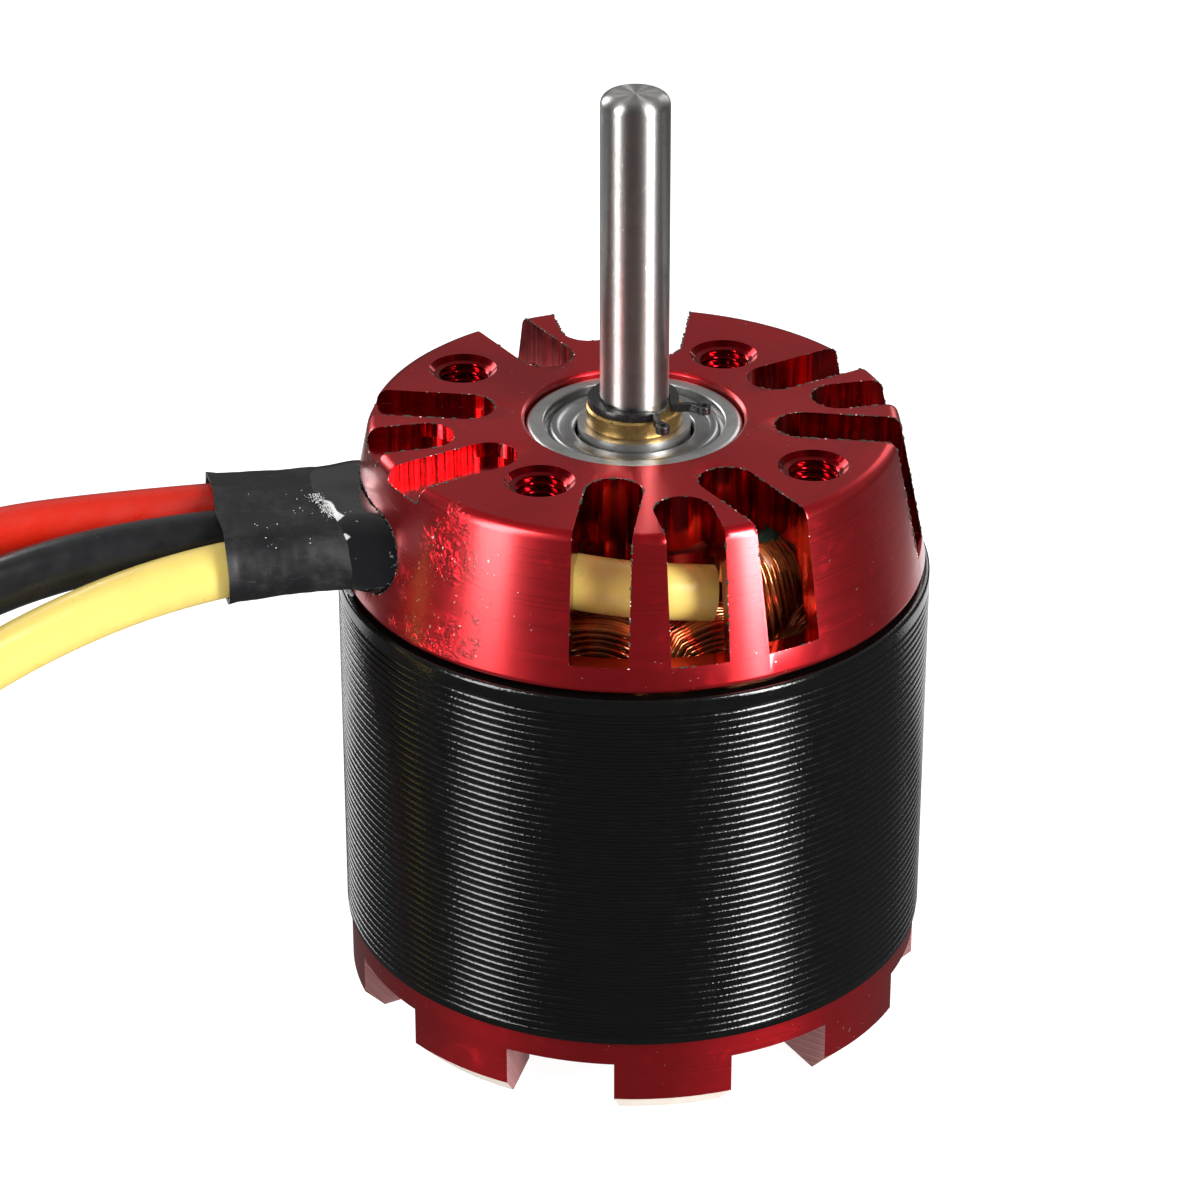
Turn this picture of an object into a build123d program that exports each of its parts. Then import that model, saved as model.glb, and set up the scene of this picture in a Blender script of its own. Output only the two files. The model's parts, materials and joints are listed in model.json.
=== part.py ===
"""Brushless outrunner motor, 43.6 mm across, with a 5 mm shaft and three leads.

Frame: millimetres, +Z up along the output shaft. The origin is the centre of the
front mounting face. The motor stands on the teeth of its rear bell, below the origin.
"""

from build123d import *
import math
import os

os.makedirs("parts", exist_ok=True)

# ---------------------------------------------------------------- driving dimensions
can_radius = 21.8            # ribbed flux ring, outside
shaft_radius = 2.5
shaft_top = 25.0             # length of shaft that stands out of the mounting face
floor_z = -46.7              # lowest plane of the rear bell's teeth

# front cap: the fixed aluminium mount that carries the stator
plate_radius = 19.4          # mounting face, before the edge radius
plate_edge_fillet = 0.9
plate_thickness = 3.3
cap_base_radius = 21.5
cap_base_z = -11.1
cap_cavity_top_radius = 17.8
cap_cavity_base_radius = 19.8
hub_step_radius = 14.2       # the plate is thicker inside this radius
hub_thickness = 5.0
boss_radius = 10.4
boss_depth = 7.0
tube_radius = 9.2            # bearing tube, which also carries the stator core
tube_relief_radius = 7.2
tube_end_z = -36.4

# ventilation slots: four groups of three, one long, one short, one long
slot_width = 4.2
slot_floor_z = -9.3
slot_spread = 19.5           # degrees between the slots of one group
long_slot_tip = 10.2         # radius where a long slot begins
short_slot_tip = 13.3
slot_group_angle = 12.5      # first group, from +X
blind_group = 2              # this group lies over the lead window and is only grooves
blind_depth = 1.1

# tapped mounting holes, M4
tapped_radius = 1.65
tapped_chamfer = 0.9
tapped_chamfer_angle = 90
wide_circle_radius = 15.0    # two holes on a 30 mm circle
narrow_circle_radius = 12.5  # two holes on a 25 mm circle
wide_circle_angle = -32.5    # the second hole of each pair is opposite
narrow_circle_angle = -122.5

# ball bearings, 5 x 16 x 5 mm
bearing_radius = 8.0
bearing_width = 5.0
bearing_edge = 0.4
outer_land_radius = 6.4
inner_land_radius = 4.1
ball_circle_radius = 5.25
ball_radius = 1.36
groove_radius = 1.40
ball_count = 8
cage_inner_radius = 4.75
cage_outer_radius = 5.75
cage_height = 3.3
shield_inner_radius = 4.25
shield_thickness = 0.3
shield_inset = 0.25
front_bearing_top = -0.35
rear_bearing_top = -31.1

# stator
stator_radius = 17.8
stack_top = -12.6
stack_bottom = -33.6
tooth_count = 12
tooth_angle = 21.0           # first tooth, from +X
tooth_width = 3.4
yoke_radius = 11.6
shoe_thickness = 1.2
shoe_gap = 2.2
insulator_thickness = 0.7
coil_inner_radius = 11.9
coil_outer_radius = 16.0
coil_inner_size = (5.9, 26.0)   # across the tooth, along the axis
coil_outer_size = (7.9, 28.0)
coil_corner = 1.8
coil_fit = 0.05              # clearance between a coil and its tooth

# rotor
ring_inner_radius = 20.2
ring_top_z = -11.55
ring_bottom_z = -40.07
rib_pitch = 0.6
rib_depth = 0.22
rib_band = 1.0               # smooth band above and below the ribs
magnet_count = 14
magnet_inner_radius = 18.2
magnet_top_z = -12.5
magnet_bottom_z = -36.8
magnet_span = 22.5           # degrees
bell_rim_radius = 21.5
bell_web_top = -38.3
bell_web_bottom = -42.0
bell_lip_top = -37.4
bell_lip_radius = 19.0
bell_chamfer_z = -45.0
bell_foot_radius = 19.9
bell_rim_inner_radius = 15.6
bell_hub_radius = 7.0
bell_hub_bottom = -45.9
tooth_ring_count = 8
notch_width = 8.1
notch_angle = -59.7          # first notch, from +X
vent_width = 5.0
vent_tip = 8.9
vent_end = 15.4
grub_radius = 1.5
grub_length = 3.9
grub_z = -43.95
grub_socket = 0.75
shaft_bottom = -45.6
shaft_flat = 2.25            # distance of a flat from the axis

# shaft furniture
collar_radius = 3.5
collar_top = 1.0
clip_top = 1.75
clip_groove_radius = 2.3
clip_outer_radius = 3.45
clip_gap_centre = -42.5      # middle of the clip's gap, from +X
clip_gap_half = 16.0
clip_lug_reach = 4.35
clip_lug_radius = 0.85
clip_eye_radius = 0.4
clip_lug_offset = 23.5       # degrees from the middle of the gap
spacer_radius = 3.6

# leads: a frame of their own, with its origin where the sleeve leaves the cap.
# "along" runs outwards, "side" runs towards the front, "height" is Z.
lead_exit = (-20.5, -4.5, -6.6)
lead_heading = 189.0         # degrees from +X
lead_radius = 2.0
window_size = (15.4, 6.0)
sleeve_size = (12.9, 4.9)
sleeve_wall = 0.35
sleeve_start = -1.0
sleeve_end = 10.6
plug_back = -3.4             # back of the potting, inside the cap
plug_front = 0.4             # where the potting starts to taper
plug_tip = 4.6

# varnished sleeve over one soldered joint, standing behind the front slots
joint_sleeve_radius = 1.6
joint_sleeve_circle = 15.95
joint_sleeve_angle = -46.5
joint_sleeve_base = -8.9
joint_sleeve_length = 5.5

# routes of the three leads outside the cap, as (along, side, height)
lead_routes = {
    "lead_red": [
        (0.5, -4.05, -6.6), (14.5, -4.05, -6.6), (29, -4.1, -7.6), (42.5, -4.6, -14),
        (51, -5.4, -26), (59.5, -6.4, -37.6), (72, -7.8, -44.7), (86, -9.2, -44.7),
    ],
    "lead_black": [
        (0.5, 0, -6.6), (14.5, 0, -6.6), (28, 0.1, -9.8), (40, 0.4, -17.6),
        (48.5, 0.7, -29.2), (57.5, 0.4, -39.8), (71, -0.3, -44.7), (84.5, -1.0, -44.7),
    ],
    "lead_yellow": [
        (0.5, 4.05, -6.6), (15.2, 4.05, -6.6), (28.4, 4.1, -13.3), (39, 4.6, -22.6),
        (48, 5.4, -33.4), (58.5, 6.6, -42.4), (71.5, 8.2, -44.7), (84, 9.4, -44.7),
    ],
}

# bullet connectors on the far ends of the leads
connector_cup_radius = 2.0
connector_cup_length = 7.5
connector_pin_radius = 1.75
connector_pin_length = 9.0


def save(piece, name):
    """Label a finished piece and write its STEP file."""
    piece.part.label = name
    export_step(piece.part, f"parts/{name}.step")


def lead_point(along, side, height):
    """A point of the leads' own frame, in the motor's frame."""
    heading = math.radians(lead_heading)
    return Vector(
        lead_exit[0] + along * math.cos(heading) - side * math.sin(heading),
        lead_exit[1] + along * math.sin(heading) + side * math.cos(heading),
        height,
    )


def lead_plane(along):
    """The plane across the leads at a distance along them: local X is across, Y is up."""
    direction = lead_point(1, 0, 0) - lead_point(0, 0, 0)
    across = lead_point(0, 1, 0) - lead_point(0, 0, 0)
    return Plane(origin=lead_point(along, 0, lead_exit[2]), x_dir=across, z_dir=direction)


def polar(radius, angle, z=0.0):
    """A point from its radius and its angle from +X, in degrees."""
    return (radius * math.cos(math.radians(angle)), radius * math.sin(math.radians(angle)), z)


# ---------------------------------------------------------------- front cap
def make_front_cap():
    group_angles = [slot_group_angle + 90 * k for k in range(4)]
    with BuildPart() as cap:
        with BuildSketch(Plane.XZ) as section:
            with BuildLine():
                Polyline(
                    (bearing_radius, 0),
                    (plate_radius, 0),
                    (cap_base_radius, cap_base_z),
                    (cap_cavity_base_radius, cap_base_z),
                    (cap_cavity_top_radius, -plate_thickness),
                    (hub_step_radius, -plate_thickness),
                    (hub_step_radius - 1.6, -hub_thickness),
                    (boss_radius, -hub_thickness),
                    (boss_radius, -boss_depth),
                    (tube_radius, -boss_depth),
                    (tube_radius, tube_end_z),
                    (bearing_radius, tube_end_z),
                    (bearing_radius, rear_bearing_top),
                    (tube_relief_radius, rear_bearing_top),
                    (tube_relief_radius, front_bearing_top - bearing_width),
                    (bearing_radius, front_bearing_top - bearing_width),
                    close=True,
                )
            make_face()
            rim = section.vertices().sort_by_distance((plate_radius, 0, 0))[0]
            fillet(rim, radius=plate_edge_fillet)
        revolve(axis=Axis.Z)

        # slots, each from a round inner end to past the wall
        for index, group in enumerate(group_angles):
            depth = blind_depth if index == blind_group else -slot_floor_z
            for step, tip in ((-1, long_slot_tip), (0, short_slot_tip), (1, long_slot_tip)):
                spoke = Plane.XY.rotated((0, 0, group + step * slot_spread))
                length = cap_base_radius + slot_width - tip
                with BuildSketch(spoke):
                    with Locations((tip + length / 2, 0)):
                        SlotOverall(length, slot_width)
                extrude(amount=-depth, mode=Mode.SUBTRACT)

        # tapped holes, with a countersunk lead-in
        for radius, angle in (
            (wide_circle_radius, wide_circle_angle),
            (narrow_circle_radius, narrow_circle_angle),
        ):
            with Locations(polar(radius, angle), polar(radius, angle + 180)):
                CounterSinkHole(
                    radius=tapped_radius,
                    counter_sink_radius=tapped_radius + tapped_chamfer,
                    depth=boss_depth,
                    counter_sink_angle=tapped_chamfer_angle,
                )

        # window for the leads
        with BuildSketch(lead_plane(plug_back - 2.0)):
            SlotOverall(*window_size)
        extrude(amount=12.0, mode=Mode.SUBTRACT)
    save(cap, "front_cap")


# ---------------------------------------------------------------- ball bearings
def make_bearing(prefix, top):
    middle = top - bearing_width / 2
    half = bearing_width / 2
    across = Plane.XZ

    with BuildPart() as outer:
        with BuildSketch(across) as section:
            with Locations(((bearing_radius + outer_land_radius) / 2, middle)):
                Rectangle(bearing_radius - outer_land_radius, bearing_width)
            chamfer(section.vertices().group_by(Axis.X)[-1], length=bearing_edge)
            with Locations((ball_circle_radius, middle)):
                Circle(groove_radius, mode=Mode.SUBTRACT)
        revolve(axis=Axis.Z)
    save(outer, f"{prefix}_bearing_outer_race")

    with BuildPart() as inner:
        with BuildSketch(across):
            with Locations(((shaft_radius + inner_land_radius) / 2, middle)):
                Rectangle(inner_land_radius - shaft_radius, bearing_width)
            with Locations((ball_circle_radius, middle)):
                Circle(groove_radius, mode=Mode.SUBTRACT)
        revolve(axis=Axis.Z)
    save(inner, f"{prefix}_bearing_inner_race")

    with BuildPart() as shields:
        with BuildSketch(across):
            offset_z = half - shield_inset - shield_thickness / 2
            width = outer_land_radius - shield_inner_radius
            with Locations(
                (shield_inner_radius + width / 2, middle + offset_z),
                (shield_inner_radius + width / 2, middle - offset_z),
            ):
                Rectangle(width, shield_thickness)
        revolve(axis=Axis.Z)
    save(shields, f"{prefix}_bearing_shields")

    with BuildPart() as balls:
        with Locations((0, 0, middle)):
            with PolarLocations(ball_circle_radius, ball_count):
                Sphere(ball_radius)
    save(balls, f"{prefix}_bearing_balls")

    with BuildPart() as cage:
        with BuildSketch(across):
            with Locations(((cage_inner_radius + cage_outer_radius) / 2, middle)):
                Rectangle(cage_outer_radius - cage_inner_radius, cage_height)
        revolve(axis=Axis.Z)
        for k in range(ball_count):
            angle = 360 / ball_count * k
            pocket = Plane(origin=polar(shaft_radius, angle, middle), z_dir=polar(1, angle))
            with BuildSketch(pocket):
                Circle(groove_radius)
            extrude(amount=bearing_radius - shaft_radius, mode=Mode.SUBTRACT)
    save(cage, f"{prefix}_bearing_cage")


# ---------------------------------------------------------------- stator
def stator_outline(outer, shoes):
    """Yoke and teeth, with or without the shoes at the teeth's tips."""
    Circle(yoke_radius)
    with PolarLocations(0, tooth_count, start_angle=tooth_angle):
        Rectangle(outer - 0.25, tooth_width, align=(Align.MIN, Align.CENTER))
    if shoes:
        with BuildSketch(mode=Mode.PRIVATE) as shoe_ring:
            Circle(outer)
            Circle(outer - shoe_thickness, mode=Mode.SUBTRACT)
            gap_angle = tooth_angle + 180 / tooth_count
            with PolarLocations(outer, tooth_count, start_angle=gap_angle):
                Rectangle(4 * shoe_thickness, shoe_gap, mode=Mode.SUBTRACT)
        add(shoe_ring.sketch)
    Circle(tube_radius, mode=Mode.SUBTRACT)


def make_stator():
    with BuildPart() as core:
        with BuildSketch(Plane.XY.offset(stack_bottom)):
            stator_outline(stator_radius, shoes=True)
        extrude(amount=stack_top - stack_bottom)
    save(core, "stator_core")

    for name, base in (
        ("stator_insulator_front", stack_top),
        ("stator_insulator_rear", stack_bottom - insulator_thickness),
    ):
        with BuildPart() as insulator:
            with BuildSketch(Plane.XY.offset(base)):
                stator_outline(stator_radius - 0.3, shoes=True)
            extrude(amount=insulator_thickness)
        save(insulator, name)

    middle = (stack_top + stack_bottom) / 2
    hole_height = stack_top - stack_bottom + 2 * (insulator_thickness + coil_fit)
    for phase in range(3):
        with BuildPart() as winding:
            for tooth in range(phase, tooth_count, 3):
                angle = tooth_angle + 360 / tooth_count * tooth
                faces = []
                for radius, size in (
                    (coil_inner_radius, coil_inner_size),
                    (coil_outer_radius, coil_outer_size),
                ):
                    centre = Vector(*polar(radius, angle, middle))
                    across = Plane(
                        origin=centre,
                        x_dir=polar(1, angle + 90),
                        z_dir=polar(1, angle),
                    )
                    with BuildSketch(across) as face:
                        RectangleRounded(size[0], size[1], coil_corner)
                    faces.append(face.sketch.face())
                loft(sections=faces)
                start = Plane(
                    origin=polar(coil_inner_radius - 1, angle, middle),
                    x_dir=polar(1, angle + 90),
                    z_dir=polar(1, angle),
                )
                with BuildSketch(start):
                    Rectangle(tooth_width + 2 * coil_fit, hole_height)
                extrude(amount=coil_outer_radius - coil_inner_radius + 2, mode=Mode.SUBTRACT)
        save(winding, f"phase_{'abc'[phase]}_windings")


# ---------------------------------------------------------------- leads inside the cap
def make_tube(name, points, radius):
    """A round tube along straight runs joined by arcs as large as the runs allow."""
    points = [Vector(*p) for p in points]
    runs = [b - a for a, b in zip(points, points[1:])]
    radii = []
    for before, after in zip(runs, runs[1:]):
        half_turn = math.radians(before.get_angle(after)) / 2
        radii.append(0.45 * min(before.length, after.length) / math.tan(half_turn))
    with BuildPart() as tube:
        with BuildLine() as route:
            FilletPolyline(*points, radius=radii)
        with BuildSketch(Plane(origin=points[0], z_dir=runs[0])):
            Circle(radius)
        sweep(path=route.wires()[0])
    length = route.wires()[0].length
    section = math.pi * radius**2
    print(
        f"{name}: length {length:.1f}, radii {[round(r, 1) for r in radii]}, "
        f"volume over section x length {tube.part.volume / (section * length):.4f}"
    )
    save(tube, name)


def make_inner_leads():
    """The stretches between the potting and the windings, inside the cap."""
    route_radius = 15.9
    yellow = [(-144, -5.4), (-126, -5.4), (-108, -5.5), (-90, -5.9), (-70, -6.6)]
    make_tube(
        "yellow_phase_lead",
        [polar(route_radius, angle, z) for angle, z in yellow],
        lead_radius,
    )
    red = [(158, -6.7), (140, -6.9), (122, -6.9), (104, -6.9)]
    make_tube(
        "red_phase_lead",
        [polar(route_radius, angle, z) for angle, z in red],
        lead_radius,
    )
    with BuildPart() as black:
        with BuildSketch(lead_plane(plug_back)):
            Circle(lead_radius)
        extrude(amount=-4.4)
    save(black, "black_phase_lead")
    with BuildPart() as amber:
        with BuildSketch(Plane(origin=polar(joint_sleeve_circle, joint_sleeve_angle, joint_sleeve_base))):
            Circle(joint_sleeve_radius)
        extrude(amount=joint_sleeve_length)
    save(amber, "joint_sleeve")


# ---------------------------------------------------------------- lead exit
def make_lead_exit():
    with BuildPart() as sleeve:
        with BuildSketch(lead_plane(sleeve_start)):
            SlotOverall(*sleeve_size)
            SlotOverall(*[size - 2 * sleeve_wall for size in sleeve_size], mode=Mode.SUBTRACT)
        extrude(amount=sleeve_end - sleeve_start)
    save(sleeve, "lead_sleeve")

    with BuildPart() as potting:
        with BuildSketch(lead_plane(plug_back)):
            SlotOverall(*window_size)
        extrude(amount=plug_front - plug_back)
        faces = []
        for along, grow in ((plug_front, 0.0), (plug_tip, 1.0)):
            with BuildSketch(lead_plane(along)) as face:
                start, tip = window_size, [size + 0.5 for size in sleeve_size]
                SlotOverall(*[a + grow * (b - a) for a, b in zip(start, tip)])
            faces.append(face.sketch.face())
        loft(sections=faces)
        with BuildSketch(lead_plane(sleeve_start)):
            SlotOverall(*sleeve_size)
        extrude(amount=plug_tip - sleeve_start + 1, mode=Mode.SUBTRACT)
    save(potting, "exit_potting")


def make_leads():
    for name, route in lead_routes.items():
        points = [lead_point(*p) for p in route]
        make_tube(name, points, lead_radius)
        direction = points[-1] - points[-2]
        colour = name.split("_")[1]
        with BuildPart() as connector:
            with BuildSketch(Plane(origin=points[-1], z_dir=direction)):
                Circle(connector_cup_radius)
            extrude(amount=connector_cup_length)
            tip = Plane(
                origin=points[-1] + direction.normalized() * connector_cup_length,
                z_dir=direction,
            )
            with BuildSketch(tip):
                Circle(connector_pin_radius)
            extrude(amount=connector_pin_length)
            chamfer(connector.faces().sort_by(Axis.X)[0].edges(), length=0.5)
        save(connector, f"connector_{colour}")


# ---------------------------------------------------------------- rotor
def make_shaft():
    with BuildPart() as shaft:
        with BuildSketch(Plane.XY.offset(shaft_bottom)):
            Circle(shaft_radius)
        extrude(amount=shaft_top - shaft_bottom)
        fillet(shaft.edges().sort_by(Axis.Z)[-1], radius=0.8)
        chamfer(shaft.edges().sort_by(Axis.Z)[0], length=0.3)
        # groove for the retaining clip
        with BuildSketch(Plane.XZ):
            with Locations((clip_groove_radius, collar_top)):
                Rectangle(1, clip_top - collar_top, align=(Align.MIN, Align.MIN))
        revolve(axis=Axis.Z, mode=Mode.SUBTRACT)
        # flats under the grub screws
        for angle in (notch_angle, notch_angle + 90):
            face = Plane(origin=polar(shaft_flat, angle, 0), x_dir=(0, 0, 1), z_dir=polar(1, angle))
            with BuildSketch(face):
                with Locations((grub_z, 0)):
                    Rectangle(2 * grub_radius + 0.2, 3)
            extrude(amount=1, mode=Mode.SUBTRACT)
    save(shaft, "shaft")


def make_flux_ring():
    with BuildPart() as ring:
        with BuildSketch(Plane.XZ):
            with BuildLine():
                top = ring_top_z - rib_band
                count = int((top - ring_bottom_z - rib_band) / rib_pitch)
                outline = [(ring_inner_radius, ring_top_z), (can_radius - 0.35, ring_top_z)]
                outline.append((can_radius, ring_top_z - 0.35))
                for k in range(count):
                    z = top - k * rib_pitch
                    outline.append((can_radius, z))
                    outline.append((can_radius - rib_depth, z - 0.30 * rib_pitch))
                    outline.append((can_radius, z - 0.60 * rib_pitch))
                outline.append((can_radius, ring_bottom_z))
                outline.append((ring_inner_radius, ring_bottom_z))
                Polyline(*outline, close=True)
            make_face()
        revolve(axis=Axis.Z)
    save(ring, "flux_ring")

    with BuildPart() as magnets:
        for k in range(magnet_count):
            middle = k * 360 / magnet_count
            with BuildSketch(Plane.XY.offset(magnet_bottom_z)):
                with BuildLine():
                    first, last = middle - magnet_span / 2, middle + magnet_span / 2
                    outer = CenterArc((0, 0), ring_inner_radius, first, magnet_span)
                    inner = CenterArc((0, 0), magnet_inner_radius, first, magnet_span)
                    Line(inner @ 0, outer @ 0)
                    Line(inner @ 1, outer @ 1)
                make_face()
            extrude(amount=magnet_top_z - magnet_bottom_z)
    save(magnets, "magnets")


def make_rear_bell():
    notch_angles = [notch_angle + k * 360 / tooth_ring_count for k in range(tooth_ring_count)]
    with BuildPart() as bell:
        with BuildSketch(Plane.XZ):
            with BuildLine():
                Polyline(
                    (shaft_radius, bell_lip_top),
                    (bell_hub_radius, bell_lip_top),
                    (bell_hub_radius, bell_web_top),
                    (bell_lip_radius, bell_web_top),
                    (bell_lip_radius, bell_lip_top),
                    (ring_inner_radius, bell_lip_top),
                    (ring_inner_radius, ring_bottom_z),
                    (bell_rim_radius, ring_bottom_z),
                    (bell_rim_radius, bell_chamfer_z),
                    (bell_foot_radius, floor_z),
                    (bell_rim_inner_radius, floor_z),
                    (bell_rim_inner_radius, bell_web_bottom),
                    (bell_hub_radius, bell_web_bottom),
                    (bell_hub_radius, bell_hub_bottom),
                    (shaft_radius, bell_hub_bottom),
                    close=True,
                )
            make_face()
        revolve(axis=Axis.Z)
        for angle in notch_angles:
            with BuildSketch(Plane.XY.offset(bell_web_bottom).rotated((0, 0, angle))):
                with Locations((bell_rim_inner_radius - 1, 0)):
                    Rectangle(8, notch_width, align=(Align.MIN, Align.CENTER))
            extrude(amount=floor_z - bell_web_bottom - 1, mode=Mode.SUBTRACT)
            with BuildSketch(Plane.XY.offset(bell_web_top + 1).rotated((0, 0, angle))):
                with Locations(((vent_tip + vent_end) / 2, 0)):
                    SlotOverall(vent_end - vent_tip, vent_width)
            extrude(amount=bell_web_bottom - bell_web_top - 2, mode=Mode.SUBTRACT)
        for angle in (notch_angle, notch_angle + 90):
            bore = Plane(origin=polar(shaft_radius - 1, angle, grub_z), z_dir=polar(1, angle))
            with BuildSketch(bore):
                Circle(grub_radius)
            extrude(amount=bell_hub_radius, mode=Mode.SUBTRACT)
    save(bell, "rear_bell")

    with BuildPart() as grubs:
        for angle in (notch_angle, notch_angle + 90):
            seat = Plane(origin=polar(shaft_flat, angle, grub_z), z_dir=polar(1, angle))
            with BuildSketch(seat):
                Circle(grub_radius)
            extrude(amount=grub_length)
            with BuildSketch(seat.offset(grub_length)):
                RegularPolygon(grub_socket, 6, major_radius=False)
            extrude(amount=-1.6, mode=Mode.SUBTRACT)
    save(grubs, "grub_screws")


def make_shaft_furniture():
    for name, radius, top, bottom in (
        ("brass_collar", collar_radius, collar_top, front_bearing_top),
        ("rear_spacer", spacer_radius, rear_bearing_top - bearing_width, bell_lip_top),
    ):
        with BuildPart() as ring:
            with BuildSketch(Plane.XY.offset(bottom)):
                Circle(radius)
                Circle(shaft_radius, mode=Mode.SUBTRACT)
            extrude(amount=top - bottom)
            rims = ring.edges().filter_by(GeomType.CIRCLE).group_by(SortBy.RADIUS)[-1]
            chamfer(rims, length=0.15)
        save(ring, name)

    with BuildPart() as clip:
        with BuildSketch(Plane.XY.offset(collar_top)):
            Circle(clip_outer_radius)
            reach = 2 * clip_outer_radius
            with BuildLine():
                Polyline(
                    (0, 0),
                    polar(reach, clip_gap_centre - clip_gap_half)[:2],
                    polar(reach, clip_gap_centre + clip_gap_half)[:2],
                    close=True,
                )
            make_face(mode=Mode.SUBTRACT)
            lugs = [
                polar(clip_lug_reach, clip_gap_centre + sign * clip_lug_offset)[:2]
                for sign in (-1, 1)
            ]
            for sign in (-1, 1):
                angle = clip_gap_centre + sign * clip_lug_offset
                lug = polar(clip_lug_reach, angle)[:2]
                neck = (clip_lug_reach + clip_groove_radius) / 2
                with Locations(lug):
                    Circle(clip_lug_radius)
                with Locations(polar(neck, angle)[:2]):
                    Rectangle(
                        clip_lug_reach - clip_groove_radius,
                        1.5 * clip_lug_radius,
                        rotation=angle,
                    )
            Circle(clip_groove_radius, mode=Mode.SUBTRACT)
            with Locations(*lugs):
                Circle(clip_eye_radius, mode=Mode.SUBTRACT)
        extrude(amount=clip_top - collar_top)
    save(clip, "retaining_clip")


make_front_cap()
make_bearing("front", front_bearing_top)
make_bearing("rear", rear_bearing_top)
make_stator()
make_inner_leads()
make_lead_exit()
make_leads()
make_shaft()
make_flux_ring()
make_rear_bell()
make_shaft_furniture()
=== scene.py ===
"""Looks of the brushless outrunner motor: materials, wound copper, leads and turned skins.

Every length is in metres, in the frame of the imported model: +Z runs up the shaft, and the
origin is the centre of the front mounting face.
"""
import json
import math
import random

import bmesh
import bpy
from mathutils import Euler, Matrix, Vector, noise

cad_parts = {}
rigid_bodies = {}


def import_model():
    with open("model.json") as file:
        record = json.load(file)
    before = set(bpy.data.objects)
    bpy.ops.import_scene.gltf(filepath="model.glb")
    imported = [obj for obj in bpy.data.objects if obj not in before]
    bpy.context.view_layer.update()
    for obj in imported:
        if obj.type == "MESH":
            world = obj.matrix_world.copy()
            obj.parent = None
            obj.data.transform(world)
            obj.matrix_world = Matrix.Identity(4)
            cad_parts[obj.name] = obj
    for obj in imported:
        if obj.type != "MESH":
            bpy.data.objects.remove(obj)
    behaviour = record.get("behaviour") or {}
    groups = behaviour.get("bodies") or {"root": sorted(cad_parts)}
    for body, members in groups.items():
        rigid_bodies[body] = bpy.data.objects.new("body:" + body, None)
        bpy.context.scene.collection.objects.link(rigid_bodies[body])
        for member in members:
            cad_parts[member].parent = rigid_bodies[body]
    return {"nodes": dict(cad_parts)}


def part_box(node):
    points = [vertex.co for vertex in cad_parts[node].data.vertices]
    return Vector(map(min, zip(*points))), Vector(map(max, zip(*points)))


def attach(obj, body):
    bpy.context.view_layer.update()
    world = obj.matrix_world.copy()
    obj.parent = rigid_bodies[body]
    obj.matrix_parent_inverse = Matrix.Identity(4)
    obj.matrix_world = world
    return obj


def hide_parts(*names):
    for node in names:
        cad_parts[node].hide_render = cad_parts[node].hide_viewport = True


for leftover in list(bpy.data.objects):
    bpy.data.objects.remove(leftover)
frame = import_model()
bpy.context.view_layer.update()
scene = bpy.context.scene

# places that the frame gives
floor_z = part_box("rear_bell")[0].z
cap_low, cap_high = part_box("front_cap")
ring_low, ring_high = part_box("flux_ring")
can_radius = ring_high.x


# ---------------- camera
CAMERA_PLACE = (-0.00211, -0.29383, 0.14195)
CAMERA_LENS = 134.9
CAMERA_DOWN, CAMERA_YAW = math.radians(28.133), math.radians(0.073)


def make_camera():
    data = bpy.data.cameras.new("camera")
    data.sensor_width = 36.0
    data.lens = CAMERA_LENS
    data.clip_start, data.clip_end = 0.01, 20.0
    camera = bpy.data.objects.new("camera", data)
    camera.location = CAMERA_PLACE
    camera.rotation_euler = Euler((math.pi / 2 - CAMERA_DOWN, 0.0, CAMERA_YAW))
    scene.collection.objects.link(camera)
    scene.camera = camera


make_camera()


# ---------------- small helpers
def polar(radius, angle, z=0.0):
    """A point from its radius and its angle from +X, in degrees."""
    return Vector((radius * math.cos(math.radians(angle)),
                   radius * math.sin(math.radians(angle)), z))


def new_object(name, mesh):
    made = bpy.data.objects.new(name, mesh)
    scene.collection.objects.link(made)
    return made


def mesh_object(name, vertices, faces, smooth_angle=40.0):
    mesh = bpy.data.meshes.new(name)
    mesh.from_pydata([tuple(v) for v in vertices], [], faces)
    mesh.validate()
    shade(mesh, smooth_angle)
    return new_object(name, mesh)


def shade(mesh, smooth_angle):
    """Smooth shading, kept sharp at edges that turn by more than an angle."""
    mesh.polygons.foreach_set("use_smooth", [True] * len(mesh.polygons))
    mesh.set_sharp_from_angle(angle=math.radians(smooth_angle))
    mesh.update()


def skin(rings, loop=False):
    """Vertices and faces through rings of points: capped at both ends, or joined in a loop."""
    count = len(rings[0])
    vertices = [point for ring in rings for point in ring]
    faces = []
    for i in range(len(rings) if loop else len(rings) - 1):
        here, there = i * count, ((i + 1) % len(rings)) * count
        for k in range(count):
            after = (k + 1) % count
            faces.append((here + k, here + after, there + after, there + k))
    if not loop:
        faces.append(tuple(reversed(range(count))))
        faces.append(tuple(range((len(rings) - 1) * count, len(rings) * count)))
    return vertices, faces


def solid(name, rings, smooth_angle=40.0, loop=False):
    """A closed mesh through rings of points, with its normals outwards."""
    made = mesh_object(name, *skin(rings, loop), smooth_angle)
    work = bmesh.new()
    work.from_mesh(made.data)
    bmesh.ops.recalc_face_normals(work, faces=work.faces)
    work.to_mesh(made.data)
    work.free()
    made.data.update()
    return made


def prism(name, outline, angle, bottom, top):
    """An upright solid with a flat outline, turned about Z by an angle."""
    turn = Matrix.Rotation(math.radians(angle), 3, "Z")
    return solid(name, [[turn @ Vector((x, y, z)) for x, y in outline] for z in (bottom, top)])


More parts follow.
